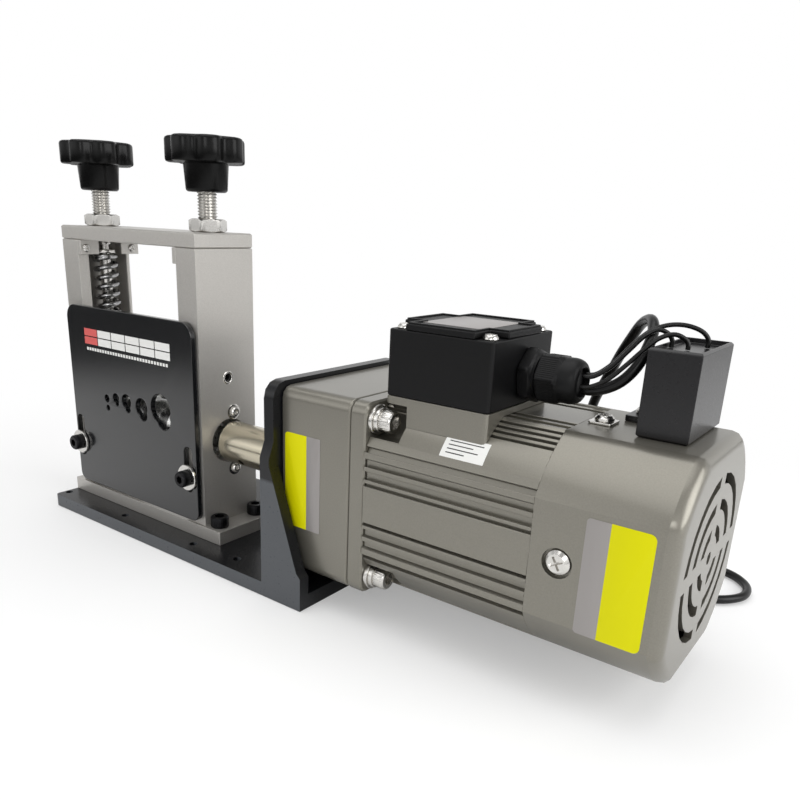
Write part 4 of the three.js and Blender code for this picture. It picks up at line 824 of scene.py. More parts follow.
for i, (y, z) in enumerate(((-1, 1), (1, 1), (1, -1), (-1, -1)), 1):
    shells = cap_screw((FLANGE_BACK, y * MOTOR_BOLT, AXIS_Z + z * MOTOR_BOLT), "x", shank=3, length=53,
                       head=5, height=6, socket=5, washers=[(6.8, 1.8), (5.7, 2.0)], turn=0.35 * i)
    piece(f"motor_cap_screw_{i}", shells, bright_nickel, "machine", (f"motor_screw_{i}",),
          smooth=35)
for name, side in sides_of:
    place = (STRIPPER_X + side * GUIDE_SCREW_X, PLATE_FRONT - PLATE_PLAY, GUIDE_SCREW_Z)
    shank, washer, head = cap_screw(place, "-y", shank=3, length=15.6, head=4.5, height=4.6, socket=4,
                                    washers=[(7.2, 1.6)], turn=0.2 * side)
    piece(f"{name}_guide_cap_screw", [shank, head], black_oxide, "machine",
          (f"{name}_guide_screw",), smooth=35)
    piece(f"{name}_guide_washer", [washer], bright_nickel, "machine")
for name, y in (("front", -31.5), ("rear", -4.5)):
    shells = cap_screw((FOOT_SCREW_X, y, FOOT_TOP), "z", shank=3, length=12.2, head=5, height=6, socket=5)
    piece(f"{name}_foot_cap_screw", shells, black_oxide, "machine",
          (f"{name}_foot_screw",), smooth=35)
print("socket screws: 8")

# %% [markdown]
# The fan cover, the lid and the capacitor are held by pan-head screws with a cross recess. The
# recess is a ring shaped as a plus sign, sunk in two steps.

# %% Recipe for pan-head screws
def cross(half_width, half_length):
    """A ring's radius for a cross-shaped recess."""
    def radius(angle):
        c, s = abs(math.cos(angle)), abs(math.sin(angle))
        along_a = min(half_length / max(c, 1e-6), half_width / max(s, 1e-6))
        along_b = min(half_length / max(s, 1e-6), half_width / max(c, 1e-6))
        return max(along_a, along_b)
    return radius


def pan_screw(place, axis, shank, length, head, height, recess, turn=0.0):
    """Skins of a pan-head screw; along 0 is the face it clamps, and recess is half the cross."""
    return [ringed([(0, -length), (shank, -length), (shank, 0), (head - 0.3, 0), (head, 0.4),
                    (head - 0.15, height * 0.55), (head * 0.75, height * 0.92), (recess * 1.25, height),
                    (cross(recess * 0.17, recess), height),
                    (cross(recess * 0.12, recess * 0.75), height - recess * 0.35),
                    (0, height - recess * 0.5)], axis, place, 128, turn)]


print("mm from the middle of a 4 mm cross to its inner corner:", round(cross(0.5, 2)(math.pi / 4), 2))

# %% [markdown]
# Two of them hold the fan cover, one the capacitor and four the terminal box's lid.

# %% Make the pan-head screws
COVER_SCREW_X, COVER_SCREW_Z, LID_RECESS = 141.6, 61.5, 137.4
CAPACITOR_SCREW = (147, 15, 109)
for name, axis, y in (("front", "-y", -43.5), ("rear", "y", 43.5)):
    screw = pan_screw((COVER_SCREW_X, y, COVER_SCREW_Z), axis, shank=2.4, length=10, head=5.2,
                      height=2.6, recess=2.9, turn=0.5)
    piece(f"{name}_pan_screw", screw, bright_nickel, "machine", (f"{name}_cover_screw",), smooth=30)
screw = pan_screw(CAPACITOR_SCREW, "z", shank=2, length=3.5, head=3.8, height=2.4, recess=2.2, turn=0.7)
piece("capacitor_pan_screw", screw, bright_nickel, "machine", ("capacitor_screw",), smooth=30)
for i, (x, y) in enumerate(((58.2, -31.2), (98.6, -31.2), (98.6, 9.9), (58.2, 9.9)), 1):
    screw = pan_screw((x, y, LID_RECESS), "z", shank=1.5, length=2, head=3.2, height=2.0, recess=1.9,
                      turn=0.4 * i)
    piece(f"lid_screw_{i}", screw, bright_nickel, "machine", smooth=30)
print("pan-head screws: 7")

# %% [markdown]
# An earth wire would go under one more such screw, on a small bright tag beside the capacitor. The
# tag is a flat sheet, as the guide plate, the labels and the lid's rim are. A curve in a plane
# fills its outline, gives it a thickness and rounds its edges, and it is made a mesh before it is
# put in its place.

# %% Make the earth tag
def evaluated_mesh(thing):
    """A new mesh of what an object's curve settings or modifiers make of it."""
    view = bpy.context.evaluated_depsgraph_get()
    return bpy.data.meshes.new_from_object(thing.evaluated_get(view))


def sheet_mesh(name, loops, thickness, bevel, placing):
    """A flat sheet with holes, from closed loops in millimetres, placed by a matrix."""
    curve = bpy.data.curves.new(name, "CURVE")
    curve.dimensions = "2D"
    curve.fill_mode = "BOTH"
    curve.extrude = (thickness / 2 - bevel) * MM
    curve.bevel_depth = bevel * MM
    curve.bevel_resolution = 1
    curve.offset = -bevel * MM
    for loop in loops:
        spline = curve.splines.new("POLY")
        spline.points.add(len(loop) - 1)
        for point, (u, v) in zip(spline.points, loop):
            point.co = (u * MM, v * MM, 0, 1)
        spline.use_cyclic_u = True
    holder = bpy.data.objects.new(name, curve)
    bpy.context.scene.collection.objects.link(holder)
    mesh = evaluated_mesh(holder)
    bpy.data.objects.remove(holder)
    bpy.data.curves.remove(curve)
    mesh.transform(placing)
    weld(mesh)
    return mesh


TAG_X, TAG_Y, TAG_Z, TAG_THICK = 138.5, -3, 106.5, 0.9
tag = rounded(TAG_X - 6.5, TAG_X + 3.2, TAG_Y - 5, TAG_Y + 5, (1.2,) * 4, 4)
tag_mesh = sheet_mesh("earth_tag", [tag], TAG_THICK, 0.15, Matrix.Translation((0, 0, (TAG_Z + 0.5) * MM)))
settle("earth_tag", tag_mesh, bright_nickel, "machine", smooth=30)
screw = pan_screw((TAG_X - 1.5, TAG_Y, TAG_Z + TAG_THICK), "z", shank=2, length=3, head=3.9, height=2.4,
                  recess=2.3, turn=0.9)
piece("earth_screw", screw, bright_nickel, "machine", smooth=30)
print("earth tag corners:", len(tag_mesh.vertices))

# %% [markdown]
# Small screws hold the bearing and the slider in the right pillar's side: two socket screws in
# raised seats, and a black set screw sunk in a hole with a bright rim. Four tiny pan heads hold the
# retainers at the top of the grooves. The same recipes make them all.

# %% Small screws in the pillars and retainers
PILLAR_FACE = STRIPPER_X + 58.5
seat = [(2.6, -1), (4.3, -1), (4.3, 0.05), (4.05, 0.2), (2.95, 0.2), (2.6, -0.4), (2.6, -1)]
for i, z in enumerate((76.5, 44.5), 1):
    place = (PILLAR_FACE, -14.6, z)
    piece(f"pillar_screw_seat_{i}", [ringed(seat, "x", place, 48)], bright_nickel, "machine")
    screw = cap_screw(place, "x", shank=1.5, length=3, head=2.8, height=2.0, socket=2.5, turn=0.4 * i)
    piece(f"pillar_socket_screw_{i}", screw, bright_nickel, "machine", smooth=30)
place = (PILLAR_FACE, SHAFT_Y, 96)
hole = polygon(2.5)
set_screw = [(0, -5), (2.3, -5), (2.3, -1.4), (1.9, -1.1), (hole, -1.1), (hole, -3.2), (0, -3.4)]
piece("pillar_set_screw", [ringed(set_screw, "x", place, 48, 0.3)], black_oxide, "machine",
      smooth=30)
rim = [(2.4, -1.2), (3.6, -0.3), (3.6, 0.05), (3.4, 0.3), (3.0, 0.4), (2.6, 0.3), (2.4, 0.05), (2.4, -1.2)]
piece("pillar_hole_rim", [ringed(rim, "x", place, 48)], bright_nickel, "machine", smooth=50)
PILLAR_INSIDE, RETAINER_GAP, RETAINER_THICK, RETAINER_SCREW_Z = 43.5, 0.1, 2.8, 158
retainer_face = PILLAR_INSIDE - RETAINER_GAP - RETAINER_THICK
for name, side in sides_of:
    axis = "x" if side < 0 else "-x"
    for end, y in (("front", -33.6), ("rear", -3.4)):
        place = (STRIPPER_X + side * retainer_face, y, RETAINER_SCREW_Z)
        screw = pan_screw(place, axis, shank=1.3, length=2.4, head=2.3, height=1.3, recess=1.3, turn=0.3)
        piece(f"{name}_{end}_retainer_screw", screw, bright_nickel, "machine", smooth=30)
print("small screws: 7")

# %% [markdown]
# ## Gland
# The leads leave the terminal box through a nylon gland: a hexagon body, a hexagon nut with fine
# ribs on its flats, and a domed mouth that grips the leads. The hexagons are rings again, and the
# dome narrows in a quarter circle to the mouth.

# %% Make the gland
GLAND = (0, -6, 121.5)
body_hex, nut_hex = polygon(20.5), polygon(18.6)
body_rings = [(0, 103.3), (9.9, 103.3), (chamfered(body_hex, 11.3), 103.9), (body_hex, 104.6),
              (body_hex, 107.6), (chamfered(body_hex, 11.3), 108.2), (9.7, 108.8), (9.4, 109.0),
              (9.4, 110.2), (0, 110.2)]
piece("gland_hexagon", [ringed(body_rings, "x", GLAND, 96, 0.2)], moulded_black, "machine",
      ("gland_body",), smooth=30)


def ribbed(angle):
    """The nut's hexagon with fine grip ribs pressed into its flats."""
    return nut_hex(angle) - 0.16 * (0.5 + 0.5 * math.cos(72 * angle))


grip = [(0, 110.3), (8.9, 110.3), (chamfered(nut_hex, 10.2), 110.9), (nut_hex, 111.4),
        (ribbed, 111.8), (ribbed, 118.2), (nut_hex, 118.6), (chamfered(nut_hex, 10.0), 119.4),
        (9.2, 120.2), (9.25, 120.9)]
dome = [(6.6 + 2.7 * math.cos(math.radians(a)), 122.9 + 4.6 * math.sin(math.radians(a)))
        for a in range(0, 90, 15)]
mouth = [(6.3, 127.6), (5.9, 127.2), (5.7, 125.6), (0, 125.4)]
piece("gland_dome_nut", [ringed(grip + dome + mouth, "x", GLAND, 432, 0.45)], moulded_black,
      "machine", ("gland_nut",), smooth=30)
print("gland pieces: 2")

# %% [markdown]
# ## Guide plate
# The guide plate is a sheet of gloss-black steel with five channels of growing size, each with a
# smaller lobe under it where thin cable runs, and a clamping slot at each side. A flat curve with
# its holes as further closed loops fills itself, and a small bevel gives the rolled paint edge.

# %% Keyhole outline
def keyhole(u, v, radius, low_u, low_v, low_radius, steps=64):
    """The outline round two discs, as one loop where they meet and two where they don't."""
    reach = math.hypot(low_u - u, low_v - v)
    upper = arc(u, v, radius, 0, 360, steps)[:-1]
    if reach >= radius + low_radius:
        return [upper, arc(low_u, low_v, low_radius, 0, 360, steps)[:-1]]
    if reach + low_radius <= radius:
        return [upper]
    toward = math.degrees(math.atan2(low_v - v, low_u - u))
    cosine = (radius ** 2 + reach ** 2 - low_radius ** 2) / (2 * radius * reach)
    low_cosine = (low_radius ** 2 + reach ** 2 - radius ** 2) / (2 * low_radius * reach)
    half, low_half = math.degrees(math.acos(cosine)), math.degrees(math.acos(low_cosine))
    lower = arc(low_u, low_v, low_radius, toward + 180 + low_half, toward + 540 - low_half, steps // 2)
    return [arc(u, v, radius, toward + half, toward + 360 - half, steps) + lower[1:-1]]


def facing_front(y):
    """Stands a flat drawing up at y: its u goes along +X, and its v along +Z."""
    return Matrix(((1, 0, 0, 0), (0, 0, 1, y * MM), (0, 1, 0, 0), (0, 0, 0, 1)))


print("loops of two discs that meet:", len(keyhole(0, 0, 3, 0, -3, 2)))

# %% [markdown]
# The channels grow from left to right. Each has its size as a share of the largest, and its lobe's
# size and drop as shares of its own radius, so the row of numbers can be read off a drawing.

# %% Make the guide plate
LARGEST_CHANNEL, CHANNEL_SPAN, CHANNEL_HEIGHT = 8.5, 56.2, 76
CHANNEL_SIZES = (0.265, 0.353, 0.5, 0.618, 1)
CHANNEL_PLACES = [1 + share * CHANNEL_SPAN for share in (-0.391, -0.233, -0.057, 0.19, 0.496)]
CHANNEL_RISES = (-0.14, 0.02, 0, -0.12, 0.12)
LOBE_SIZES = (0.733, 0.583, 0.588, 0.667, 0.676)
LOBE_DROPS = (2.44, 0.88, 0.906, 0.771, 0.676)
SLOT_LOW, SLOT_HIGH, SLOT_RADIUS = 37.9, 56.6, 3.4
PLATE_THICK, PLATE_BEVEL = 3.4, 0.35

plate_loops = [rounded(STRIPPER_X - 55.2, STRIPPER_X + 57.2, 18, 126.5, (5, 8, 8, 5))]
channels = zip(CHANNEL_PLACES, CHANNEL_SIZES, CHANNEL_RISES, LOBE_SIZES, LOBE_DROPS)
for place, size, rise, lobe, drop in channels:
    radius = LARGEST_CHANNEL * size
    x, z = STRIPPER_X + place, CHANNEL_HEIGHT + LARGEST_CHANNEL * rise
    plate_loops += keyhole(x, z, radius, x + radius * 0.26, z - radius * drop, radius * lobe)
for _, side in sides_of:
    x = STRIPPER_X + side * GUIDE_SCREW_X
    plate_loops.append(arc(x, SLOT_LOW, SLOT_RADIUS, 180, 360, 16)
                       + arc(x, SLOT_HIGH, SLOT_RADIUS, 0, 180, 16))
plate_mesh = sheet_mesh("guide_sheet", plate_loops, PLATE_THICK, PLATE_BEVEL,
                        facing_front(PLATE_FRONT + PLATE_THICK / 2))
guide_sheet = settle("guide_sheet", plate_mesh, gloss_coat, "guide", ("guide_plate",),
                     smooth=60)
guide_sheet.modifiers.new("normals", "WEIGHTED_NORMAL").keep_sharp = True
print("guide plate corners:", len(plate_mesh.vertices))

# %% [markdown]
# ## Blades, roller and coupling
# Behind the guide plate, five round blades sit between spacers on a shaft, above a steel roller
# with a groove under each blade. The roller's ends run in two ball bearings in the pillars. All
# are turned pieces, so their rings are plain circles.

# %% Make the turned pieces
BLADE_Z, ROLLER_RADIUS, BLADE_GAP = 94.5, 13.5, 0.9
GROOVE_DEPTHS = (0.05, 0.08, 0.13, 0.2, 0.36)
roller = [(0, -50.1), (6, -50.1), (6, -41.5), (12.5, -41.5), (ROLLER_RADIUS, -40.5)]
shaft = [(0, -51.5), (6, -51.5), (6, -35.2), (9, -35.2)]
for place, size, depth in zip(CHANNEL_PLACES, CHANNEL_SIZES, GROOVE_DEPTHS):
    half, bottom = LARGEST_CHANNEL * size, ROLLER_RADIUS * (1 - depth)
    roller += [(ROLLER_RADIUS, place - half), (bottom, place - half / 2),
               (bottom, place + half / 2), (ROLLER_RADIUS, place + half)]
    shaft += [(9, place - BLADE_GAP), (6, place - BLADE_GAP), (6, place + BLADE_GAP), (9, place + BLADE_GAP)]
roller += [(ROLLER_RADIUS, 40.5), (12.5, 41.5), (6, 41.5), (6, 74.8), (0, 74.8)]
shaft += [(9, 35.2), (6, 35.2), (6, 51.5), (0, 51.5)]
piece("grooved_roller", [ringed(roller, "x", (STRIPPER_X, SHAFT_Y, AXIS_Z), 96)], ground_steel, "drive",
      ("feed_roller",), smooth=30)
piece("blade_spindle", [ringed(shaft, "x", (STRIPPER_X, SHAFT_Y, BLADE_Z), 64)], ground_steel, "blades",
      ("blade_shaft",), smooth=30)
blade = [(6.3, -0.8), (16.9, -0.8), (18.5, -0.1), (18.5, 0.1), (16.9, 0.8), (6.3, 0.8), (6.3, -0.8)]
for i, place in enumerate(CHANNEL_PLACES, 1):
    piece(f"round_blade_{i}", [ringed(blade, "x", (STRIPPER_X + place, SHAFT_Y, BLADE_Z), 96)],
          ground_steel, "blades", (f"blade_{i}",), smooth=20)
bearing = [(6.3, 0), (11.6, 0), (12, 0.4), (12, 5.6), (11.6, 6), (10.6, 6), (10.3, 5.6), (8, 5.6),
           (7.7, 6), (6.3, 6), (6.3, 0)]
for name, start in (("left", -50.1), ("right", 44.1)):
    piece(f"{name}_ball_bearing", [ringed(bearing, "x", (STRIPPER_X + start, SHAFT_Y, AXIS_Z), 64)],
          ground_steel, "machine", (f"{name}_bearing",), smooth=30)
print("turned pieces: 9")

# %% [markdown]
# A nickel-plated sleeve couples the roller to the gearhead. Two grub screws grip its shafts, sunk
# in holes that face down to the front. A boolean bores the holes, and is then baked into the mesh,
# so that the piece is plain geometry.

# %% Make the coupling with its grub screws
GRUB_PLACES, GRUB_ANGLE = (-48, -17.5), math.radians(38)
sleeve = [(6.3, -63.4), (10.5, -63.4), (11.3, -62.6), (11.3, -8.8), (10.5, -8), (6.3, -8), (6.3, -63.4)]
coupling = piece("coupling_sleeve", [ringed(sleeve, "x", (0, SHAFT_Y, AXIS_Z), 96)], nickel_plate,
                 "drive", ("drive_coupling",), smooth=30)


def turned_down(shell):
    """The same skin, turned about the shaft from the front towards the floor."""
    across, rise = math.cos(GRUB_ANGLE), math.sin(GRUB_ANGLE)
    return [(x, SHAFT_Y + (y - SHAFT_Y) * across - (z - AXIS_Z) * rise,
             AXIS_Z + (y - SHAFT_Y) * rise + (z - AXIS_Z) * across) for x, y, z in shell[0]], shell[1]


drill = [(0, 7.0), (2, 7.0), (2, 13), (0, 13)]
drills = [turned_down(ringed(drill, "-y", (x, SHAFT_Y, AXIS_Z), 32)) for x in GRUB_PLACES]
cutter = piece("cutter", drills, nickel_plate, "drive")
boolean = coupling.modifiers.new("holes", "BOOLEAN")
boolean.operation = "DIFFERENCE"
boolean.object = cutter
boolean.solver = "EXACT"
bored = evaluated_mesh(coupling)
coupling.modifiers.clear()
coupling.data = bored
bored.set_sharp_from_angle(angle=math.radians(30))
bpy.data.objects.remove(cutter)
grub = [(0, 8.0), (1.8, 8.0), (1.8, 9.4), (1.6, 9.6), (polygon(2), 9.6), (polygon(2), 8.6), (0, 8.4)]
for i, x in enumerate(GRUB_PLACES, 1):
    screw = turned_down(ringed(grub, "-y", (x, SHAFT_Y, AXIS_Z), 48))
    piece(f"grub_screw_{i}", [screw], black_oxide, "drive")
print("coupling faces:", len(bored.polygons))

# %% [markdown]
# ## Labels
# Rating labels are thin printed film. Here each is left without print: coloured areas on a
# rounded film about a tenth of a millimetre thick. A label's yellow and grey areas meet in a
# straight line, so only the outer corners are rounded.

# %% Make the flat labels
FILM_THICK, FILM_BEVEL, FILM_MIDDLE = 0.12, 0.024, 0.08


def front_label(name, u0, u1, v0, v1, y, material, radii):
    """A film on a face that looks to the front; radii are those of its left and right corners."""
    left, right_hand = radii
    loop = rounded(u0, u1, v0, v1, (right_hand, right_hand, left, left), 6)
    mesh = sheet_mesh(name, [loop], FILM_THICK, FILM_BEVEL, facing_front(y - FILM_MIDDLE))
    return settle(name, mesh, material, "machine", smooth=30)


GEARHEAD_SIDE, COVER_SIDE = -45, -45.4
front_label("gearhead_label_yellow", 2.5, 16, 39, 85, GEARHEAD_SIDE, label_yellow, (2, 0.05))
front_label("gearhead_label_grey", 16, 24.3, 39, 85, GEARHEAD_SIDE, label_grey, (0.05, 0.6))
front_label("motor_label_grey", 151, 160, 36.5, 82.5, COVER_SIDE, label_grey, (1.5, 0.05))
front_label("motor_label_yellow", 160, 176, 36.5, 82.5, COVER_SIDE, label_yellow, (0.05, 2.5))
print("labels: 2, each with a yellow and a grey area")

# %% [markdown]
# A white sticker bends round the motor's corner, on the plain land between two groups of fins. It
# is a patch of a cylinder: a grid over a length and an angle, with a thin wall all round. Bare
# strokes stand for its print.

# %% Make the sticker on the barrel
STICKER_X, STICKER_ANGLES, LAND_RADIUS = (85.3, 105.4), (35.1, 45.7), 51.18
INK_X, INK_ANGLE, INK_LIFT, INK_THICK = 87.5, 0.5, 0.1, 0.05


def wrapped(x0, x1, from_angle, to_angle, radius, thick, steps=12):
    """A thin patch that follows the barrel's rounded corner, on the side facing the camera."""
    corners, faces = [], []
    for reach in (radius, radius + thick):
        for i in range(steps + 1):
            angle = math.radians(from_angle + (to_angle - from_angle) * i / steps)
            for x in (x0, x1):
                corners.append((x, -reach * math.cos(angle), AXIS_Z + reach * math.sin(angle)))
    top = 2 * (steps + 1)
    for i in range(steps):
        a = 2 * i
        faces += [(a, a + 1, a + 3, a + 2), (top + a, top + a + 2, top + a + 3, top + a + 1)]
        faces += [(a, a + 2, top + a + 2, top + a), (a + 1, top + a + 1, top + a + 3, a + 3)]
    faces += [(0, top, top + 1, 1), (2 * steps, 2 * steps + 1, top + 2 * steps + 1, top + 2 * steps)]
    return corners, faces


piece("motor_sticker", [wrapped(*STICKER_X, *STICKER_ANGLES, LAND_RADIUS, FILM_THICK)], label_white,
      "machine", smooth=50)
# An angle on the barrel and a length for each stroke
strokes = ((43.2, 15.6), (41.2, 11.4), (39.2, 14.2), (37.2, 8.6))
bars = [wrapped(INK_X, INK_X + width, start, start + INK_ANGLE, LAND_RADIUS + INK_LIFT, INK_THICK, 2)
        for start, width in strokes]
piece("motor_sticker_lines", bars, case_plastic, "machine", smooth=50)
print("strokes on the sticker:", len(bars))

# %% [markdown]
# The terminal box's lid has a raised rim that follows its outline with the four notches for its
# screws, and a blank silver label inside the rim.

# %% Make the lid's rim and label
LID_TOP = 140.1
BOX_X, BOX_Y, NOTCH_X, NOTCH_Y = (53.5, 103.2), (-36.6, 15.5), 8.6, 11.6


def lid_outline(inset):
    """The lid's outline with its four screw notches, set in by an even margin."""
    x0, x1, y0, y1 = BOX_X[0] + inset, BOX_X[1] - inset, BOX_Y[0] + inset, BOX_Y[1] - inset
    return [(x0 + NOTCH_X, y0), (x1 - NOTCH_X, y0), (x1 - NOTCH_X, y0 + NOTCH_Y), (x1, y0 + NOTCH_Y),
            (x1, y1 - NOTCH_Y), (x1 - NOTCH_X, y1 - NOTCH_Y), (x1 - NOTCH_X, y1), (x0 + NOTCH_X, y1),
            (x0 + NOTCH_X, y1 - NOTCH_Y), (x0, y1 - NOTCH_Y), (x0, y0 + NOTCH_Y),
            (x0 + NOTCH_X, y0 + NOTCH_Y)]


def lying(z):
    """Lays a flat drawing down at height z."""
    return Matrix.Translation((0, 0, z * MM))


rim_mesh = sheet_mesh("lid_rim", [lid_outline(0.7), lid_outline(1.9)], 1.0, 0.15, lying(LID_TOP + 0.2))
settle("lid_rim", rim_mesh, moulded_black, "machine", smooth=30)
lid_film = rounded(63.5, 92.5, -27, 5.5, (1,) * 4, 5)
film_mesh = sheet_mesh("lid_label", [lid_film], 0.14, 0.03, lying(LID_TOP + 0.06))
settle("lid_label", film_mesh, label_grey, "machine", smooth=30)
print("lid pieces: 2")

# %% [markdown]
# The size chart on the guide plate is a grid of blank cells. Every cell is the same, so Geometry
# Nodes makes one thin box and repeats it on the points of a grid. A group with inputs serves the
# red head column, the white cells and the fine line of small cells below them.

# %% Node tree of the chart's cells
def grid_group():
    """A Geometry Nodes tree that repeats one thin cell over a grid and gives it a material."""
    tree = bpy.data.node_groups.new("cell_grid", "GeometryNodeTree")
    for title in ("Columns", "Rows"):
        tree.interface.new_socket(title, in_out="INPUT", socket_type="NodeSocketInt")
    for title in ("Cell Width", "Cell Height", "Pitch X", "Pitch Z", "Thickness"):
        tree.interface.new_socket(title, in_out="INPUT", socket_type="NodeSocketFloat")
    tree.interface.new_socket("Film", in_out="INPUT", socket_type="NodeSocketMaterial")
    tree.interface.new_socket("Geometry", in_out="OUTPUT", socket_type="NodeSocketGeometry")
    given = add_node(tree, "NodeGroupInput").outputs
    spans = []
    for count, pitch in (("Columns", "Pitch X"), ("Rows", "Pitch Z")):
        gaps = add_node(tree, "ShaderNodeMath", {0: given[count]}, operation="SUBTRACT")
        gaps.inputs[1].default_value = 1
        spans.append(add_node(tree, "ShaderNodeMath", {0: gaps.outputs[0], 1: given[pitch]},
                              operation="MULTIPLY").outputs[0])
    grid = add_node(tree, "GeometryNodeMeshGrid", {
        "Size X": spans[0], "Size Y": spans[1], "Vertices X": given["Columns"],
        "Vertices Y": given["Rows"]})
    upright_grid = add_node(tree, "GeometryNodeTransform", {"Geometry": grid.outputs["Mesh"]})
    upright_grid.inputs["Rotation"].default_value = (math.pi / 2, 0, 0)
    size = add_node(tree, "ShaderNodeCombineXYZ", {
        "X": given["Cell Width"], "Y": given["Thickness"], "Z": given["Cell Height"]})
    cell = add_node(tree, "GeometryNodeMeshCube", {"Size": size.outputs[0]})
    many = add_node(tree, "GeometryNodeInstanceOnPoints", {
        "Points": upright_grid.outputs["Geometry"], "Instance": cell.outputs["Mesh"]})
    real = add_node(tree, "GeometryNodeRealizeInstances", {"Geometry": many.outputs["Instances"]})
    painted = add_node(tree, "GeometryNodeSetMaterial", {
        "Geometry": real.outputs["Geometry"], "Material": given["Film"]})
    add_node(tree, "NodeGroupOutput", {"Geometry": painted.outputs["Geometry"]})
    return tree


cells = grid_group()
print("nodes in the chart's tree:", len(cells.nodes))

# %% [markdown]
# The tree runs three times on an empty mesh, each time with its own counts, pitches and colour, and
# the result is kept as a plain piece on the guide plate's body.

# %% Size chart on the guide plate
CHART_Y, CHART_Z, LINE_Z = PLATE_FRONT - 0.05, 109.4, 102.2
chart = {"Rows": 2, "Cell Width": 12.3 * MM, "Cell Height": 4.15 * MM, "Pitch X": 13.1 * MM,
         "Pitch Z": 4.75 * MM, "Thickness": 0.12 * MM}
fine = {**chart, "Rows": 1, "Cell Width": 1.7 * MM, "Cell Height": 1.7 * MM, "Pitch X": 2.5 * MM}


def chart_piece(name, values, x, z, film):
    """Runs the cells' tree with given inputs and keeps the result on the guide plate."""
    holder = bpy.data.objects.new(name, bpy.data.meshes.new(name))
    bpy.context.scene.collection.objects.link(holder)
    made_by = holder.modifiers.new("repeat", "NODES")
    made_by.node_group = cells
    for item in cells.interface.items_tree:
        if item.in_out == "INPUT":
            made_by[item.identifier] = {**values, "Film": film}[item.name]
    mesh = evaluated_mesh(holder)
    bpy.data.objects.remove(holder)
    mesh.transform(Matrix.Translation(Vector((x, CHART_Y, z)) * MM))
    settle(name, mesh, film, "guide", smooth=30)


chart_piece("chart_head_cells", {**chart, "Columns": 1}, -156.8, CHART_Z, label_red)
chart_piece("chart_cells", {**chart, "Columns": 5}, -117.5, CHART_Z, label_white)
chart_piece("chart_line", {**fine, "Columns": 30}, -124.4, LINE_Z, label_white)
print("chart pieces: 3")

# %% [markdown]
# ## Room and light
# The machine stands on a plain pale table. Its top lies a hair below the base plate, because two
# faces in the same place would flicker.

# %% Floor
FLOOR_HALF, FLOOR_DROP = 4, 0.0002
floor_mesh = bpy.data.meshes.new("floor")
floor_mesh.from_pydata([(x * FLOOR_HALF, y * FLOOR_HALF, 0)
                        for x, y in ((-1, -1), (1, -1), (1, 1), (-1, 1))], [], [(0, 1, 2, 3)])
floor = bpy.data.objects.new("floor", floor_mesh)
floor.location.z = -FLOOR_DROP
bpy.context.scene.collection.objects.link(floor)
pale, tree, shader = finish("pale_floor", "f8f8f8", 0.0, 0.9)
floor_mesh.materials.append(pale)
print("floor, m across:", 2 * FLOOR_HALF)

# %% [markdown]
# Away from the machine the table turns into plain white for the camera, so that no horizon shows.
# Close to the machine it keeps the shadow.

# %% White for the camera
WHITE_FROM, WHITE_AT, WHITE_LEAST = 0.22, 0.5, 0.3
place = add_node(tree, "ShaderNodeTexCoord").outputs["Object"]
ray = add_node(tree, "ShaderNodeLightPath").outputs
distance = add_node(tree, "ShaderNodeVectorMath", {"Vector": place}, operation="LENGTH")
far = add_node(tree, "ShaderNodeMapRange", {"Value": distance.outputs["Value"]},
               interpolation_type="SMOOTHSTEP", From_Min=WHITE_FROM, From_Max=WHITE_AT,
               To_Min=WHITE_LEAST, To_Max=1.0)
share = add_node(tree, "ShaderNodeMath", {0: far.outputs["Result"], 1: ray["Is Camera Ray"]},
                 operation="MULTIPLY")
white = add_node(tree, "ShaderNodeEmission", Strength=1.0)
mixed = add_node(tree, "ShaderNodeMixShader", {
    0: share.outputs[0], 1: shader.outputs[0], 2: white.outputs[0]})
print("the floor is all white from, m:", WHITE_AT)

# %% [markdown]
# The table reaches far behind the machine and to its right, but it ends sooner in front and at the
# left. Past its edge glossy faces mirror a dark room instead. That gives the guide plate its black
# top and grey foot, as in any photograph of a shiny black sheet.

# %% Dark room for mirrors
TABLE_MIDDLE, TABLE_FROM, TABLE_TO, TABLE_DARKENS = (0.35, 0.5, 0), 1.04, 1.33, 0.9
across = add_node(tree, "ShaderNodeVectorMath", {0: place}, operation="DISTANCE")
across.inputs[1].default_value = TABLE_MIDDLE
past_edge = add_node(tree, "ShaderNodeMapRange", {"Value": across.outputs["Value"]},
                     interpolation_type="SMOOTHSTEP", From_Min=TABLE_FROM, From_Max=TABLE_TO,
                     To_Min=0.0, To_Max=TABLE_DARKENS)
dark_share = add_node(tree, "ShaderNodeMath", {
    0: past_edge.outputs["Result"], 1: ray["Is Glossy Ray"]}, operation="MULTIPLY")
dark = add_node(tree, "ShaderNodeEmission", Strength=0.0)
mirrored_floor = add_node(tree, "ShaderNodeMixShader", {
    0: dark_share.outputs[0], 1: mixed.outputs[0], 2: dark.outputs[0]})
tree.links.new(mirrored_floor.outputs[0], tree.nodes["Material Output"].inputs["Surface"])
print("the mirrored room is dark from, m:", TABLE_TO)

# %% [markdown]
# Four soft lamps light the machine: a broad one overhead, a strong one at the right for the fan's
# end, and two weaker ones at the front, which lift the faces turned to the camera.

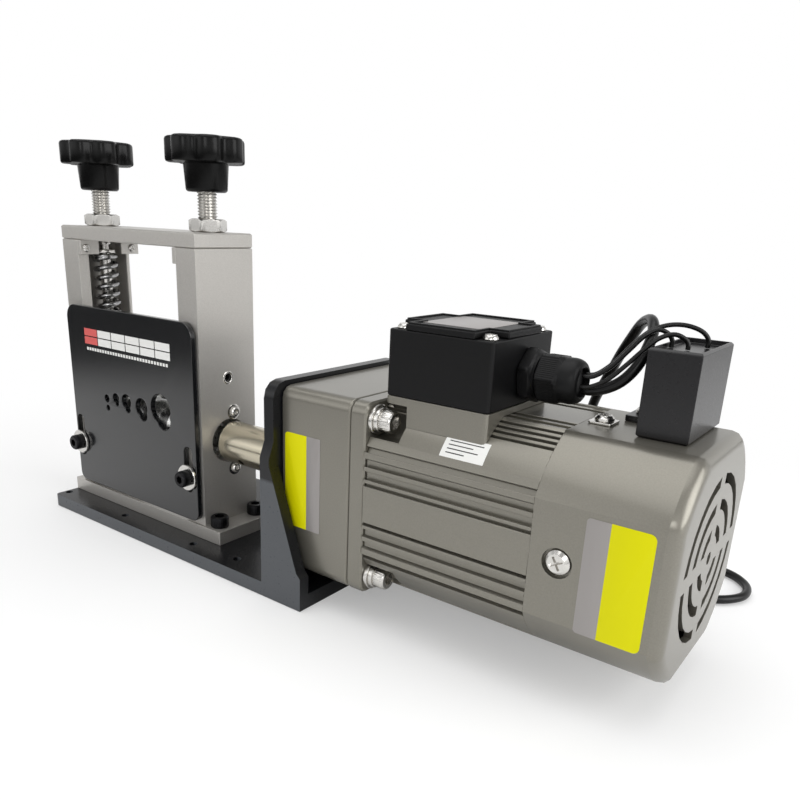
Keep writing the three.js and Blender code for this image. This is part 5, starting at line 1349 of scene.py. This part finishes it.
# %% Lamps
def lamp(name, place, target, size, power):
    """A square area lamp that looks at a target, in metres and watts."""
    data = bpy.data.lights.new(name, "AREA")
    data.shape = "RECTANGLE"
    data.size = data.size_y = size
    data.energy = power
    made = bpy.data.objects.new(name, data)
    made.location = place
    made.rotation_euler = (Vector(target) - Vector(place)).to_track_quat("-Z", "Y").to_euler()
    bpy.context.scene.collection.objects.link(made)


lamp("lamp_overhead", (-0.1, -0.1, 1.3), (0, 0, 0.1), 1.4, 10)
lamp("lamp_right", (1.2, 0.1, 0.6), (0.1, 0, 0.08), 0.9, 9)
lamp("lamp_front_left", (-0.7, -1.2, 0.8), (-0.05, 0, 0.1), 0.9, 2)
lamp("lamp_front_right", (0.8, -1.2, 0.7), (-0.1, 0, 0.1), 0.6, 4)
print("lamps:", len(bpy.data.lights))

# %% [markdown]
# The world is white to the camera. Bright metal mirrors it too, with a darker ceiling, which gives
# rods and barrels their bands. As plain light it is dimmed, so that the lamps shape the machine.

# %% World
DIFFUSE_LIGHT, CEILING, CEILING_FROM, CEILING_TO = 0.42, 0.45, 0.22, 0.6
world = bpy.data.worlds.new("studio")
world.use_nodes = True
bpy.context.scene.world = world
tree = world.node_tree
direction = add_node(tree, "ShaderNodeTexCoord").outputs["Generated"]
height = add_node(tree, "ShaderNodeSeparateXYZ", {"Vector": direction}).outputs["Z"]
mirrored = add_node(tree, "ShaderNodeMapRange", {"Value": height}, interpolation_type="SMOOTHSTEP",
                    From_Min=CEILING_FROM, From_Max=CEILING_TO, To_Min=1.0, To_Max=CEILING)
ray = add_node(tree, "ShaderNodeLightPath").outputs
mirror_ray = add_node(tree, "ShaderNodeMath", {0: ray["Is Glossy Ray"], 1: ray["Is Transmission Ray"]},
                      operation="MAXIMUM")
indirect = add_node(tree, "ShaderNodeMix", {
    "Factor": mirror_ray.outputs[0], "B": mirrored.outputs["Result"]}, A=DIFFUSE_LIGHT)
strength = add_node(tree, "ShaderNodeMix", {
    "Factor": ray["Is Camera Ray"], "A": indirect.outputs["Result"]}, B=1.0)
tree.nodes["Background"].inputs["Color"].default_value = (1, 1, 1, 1)
tree.links.new(strength.outputs["Result"], tree.nodes["Background"].inputs["Strength"])
print("nodes in the world:", len(tree.nodes))
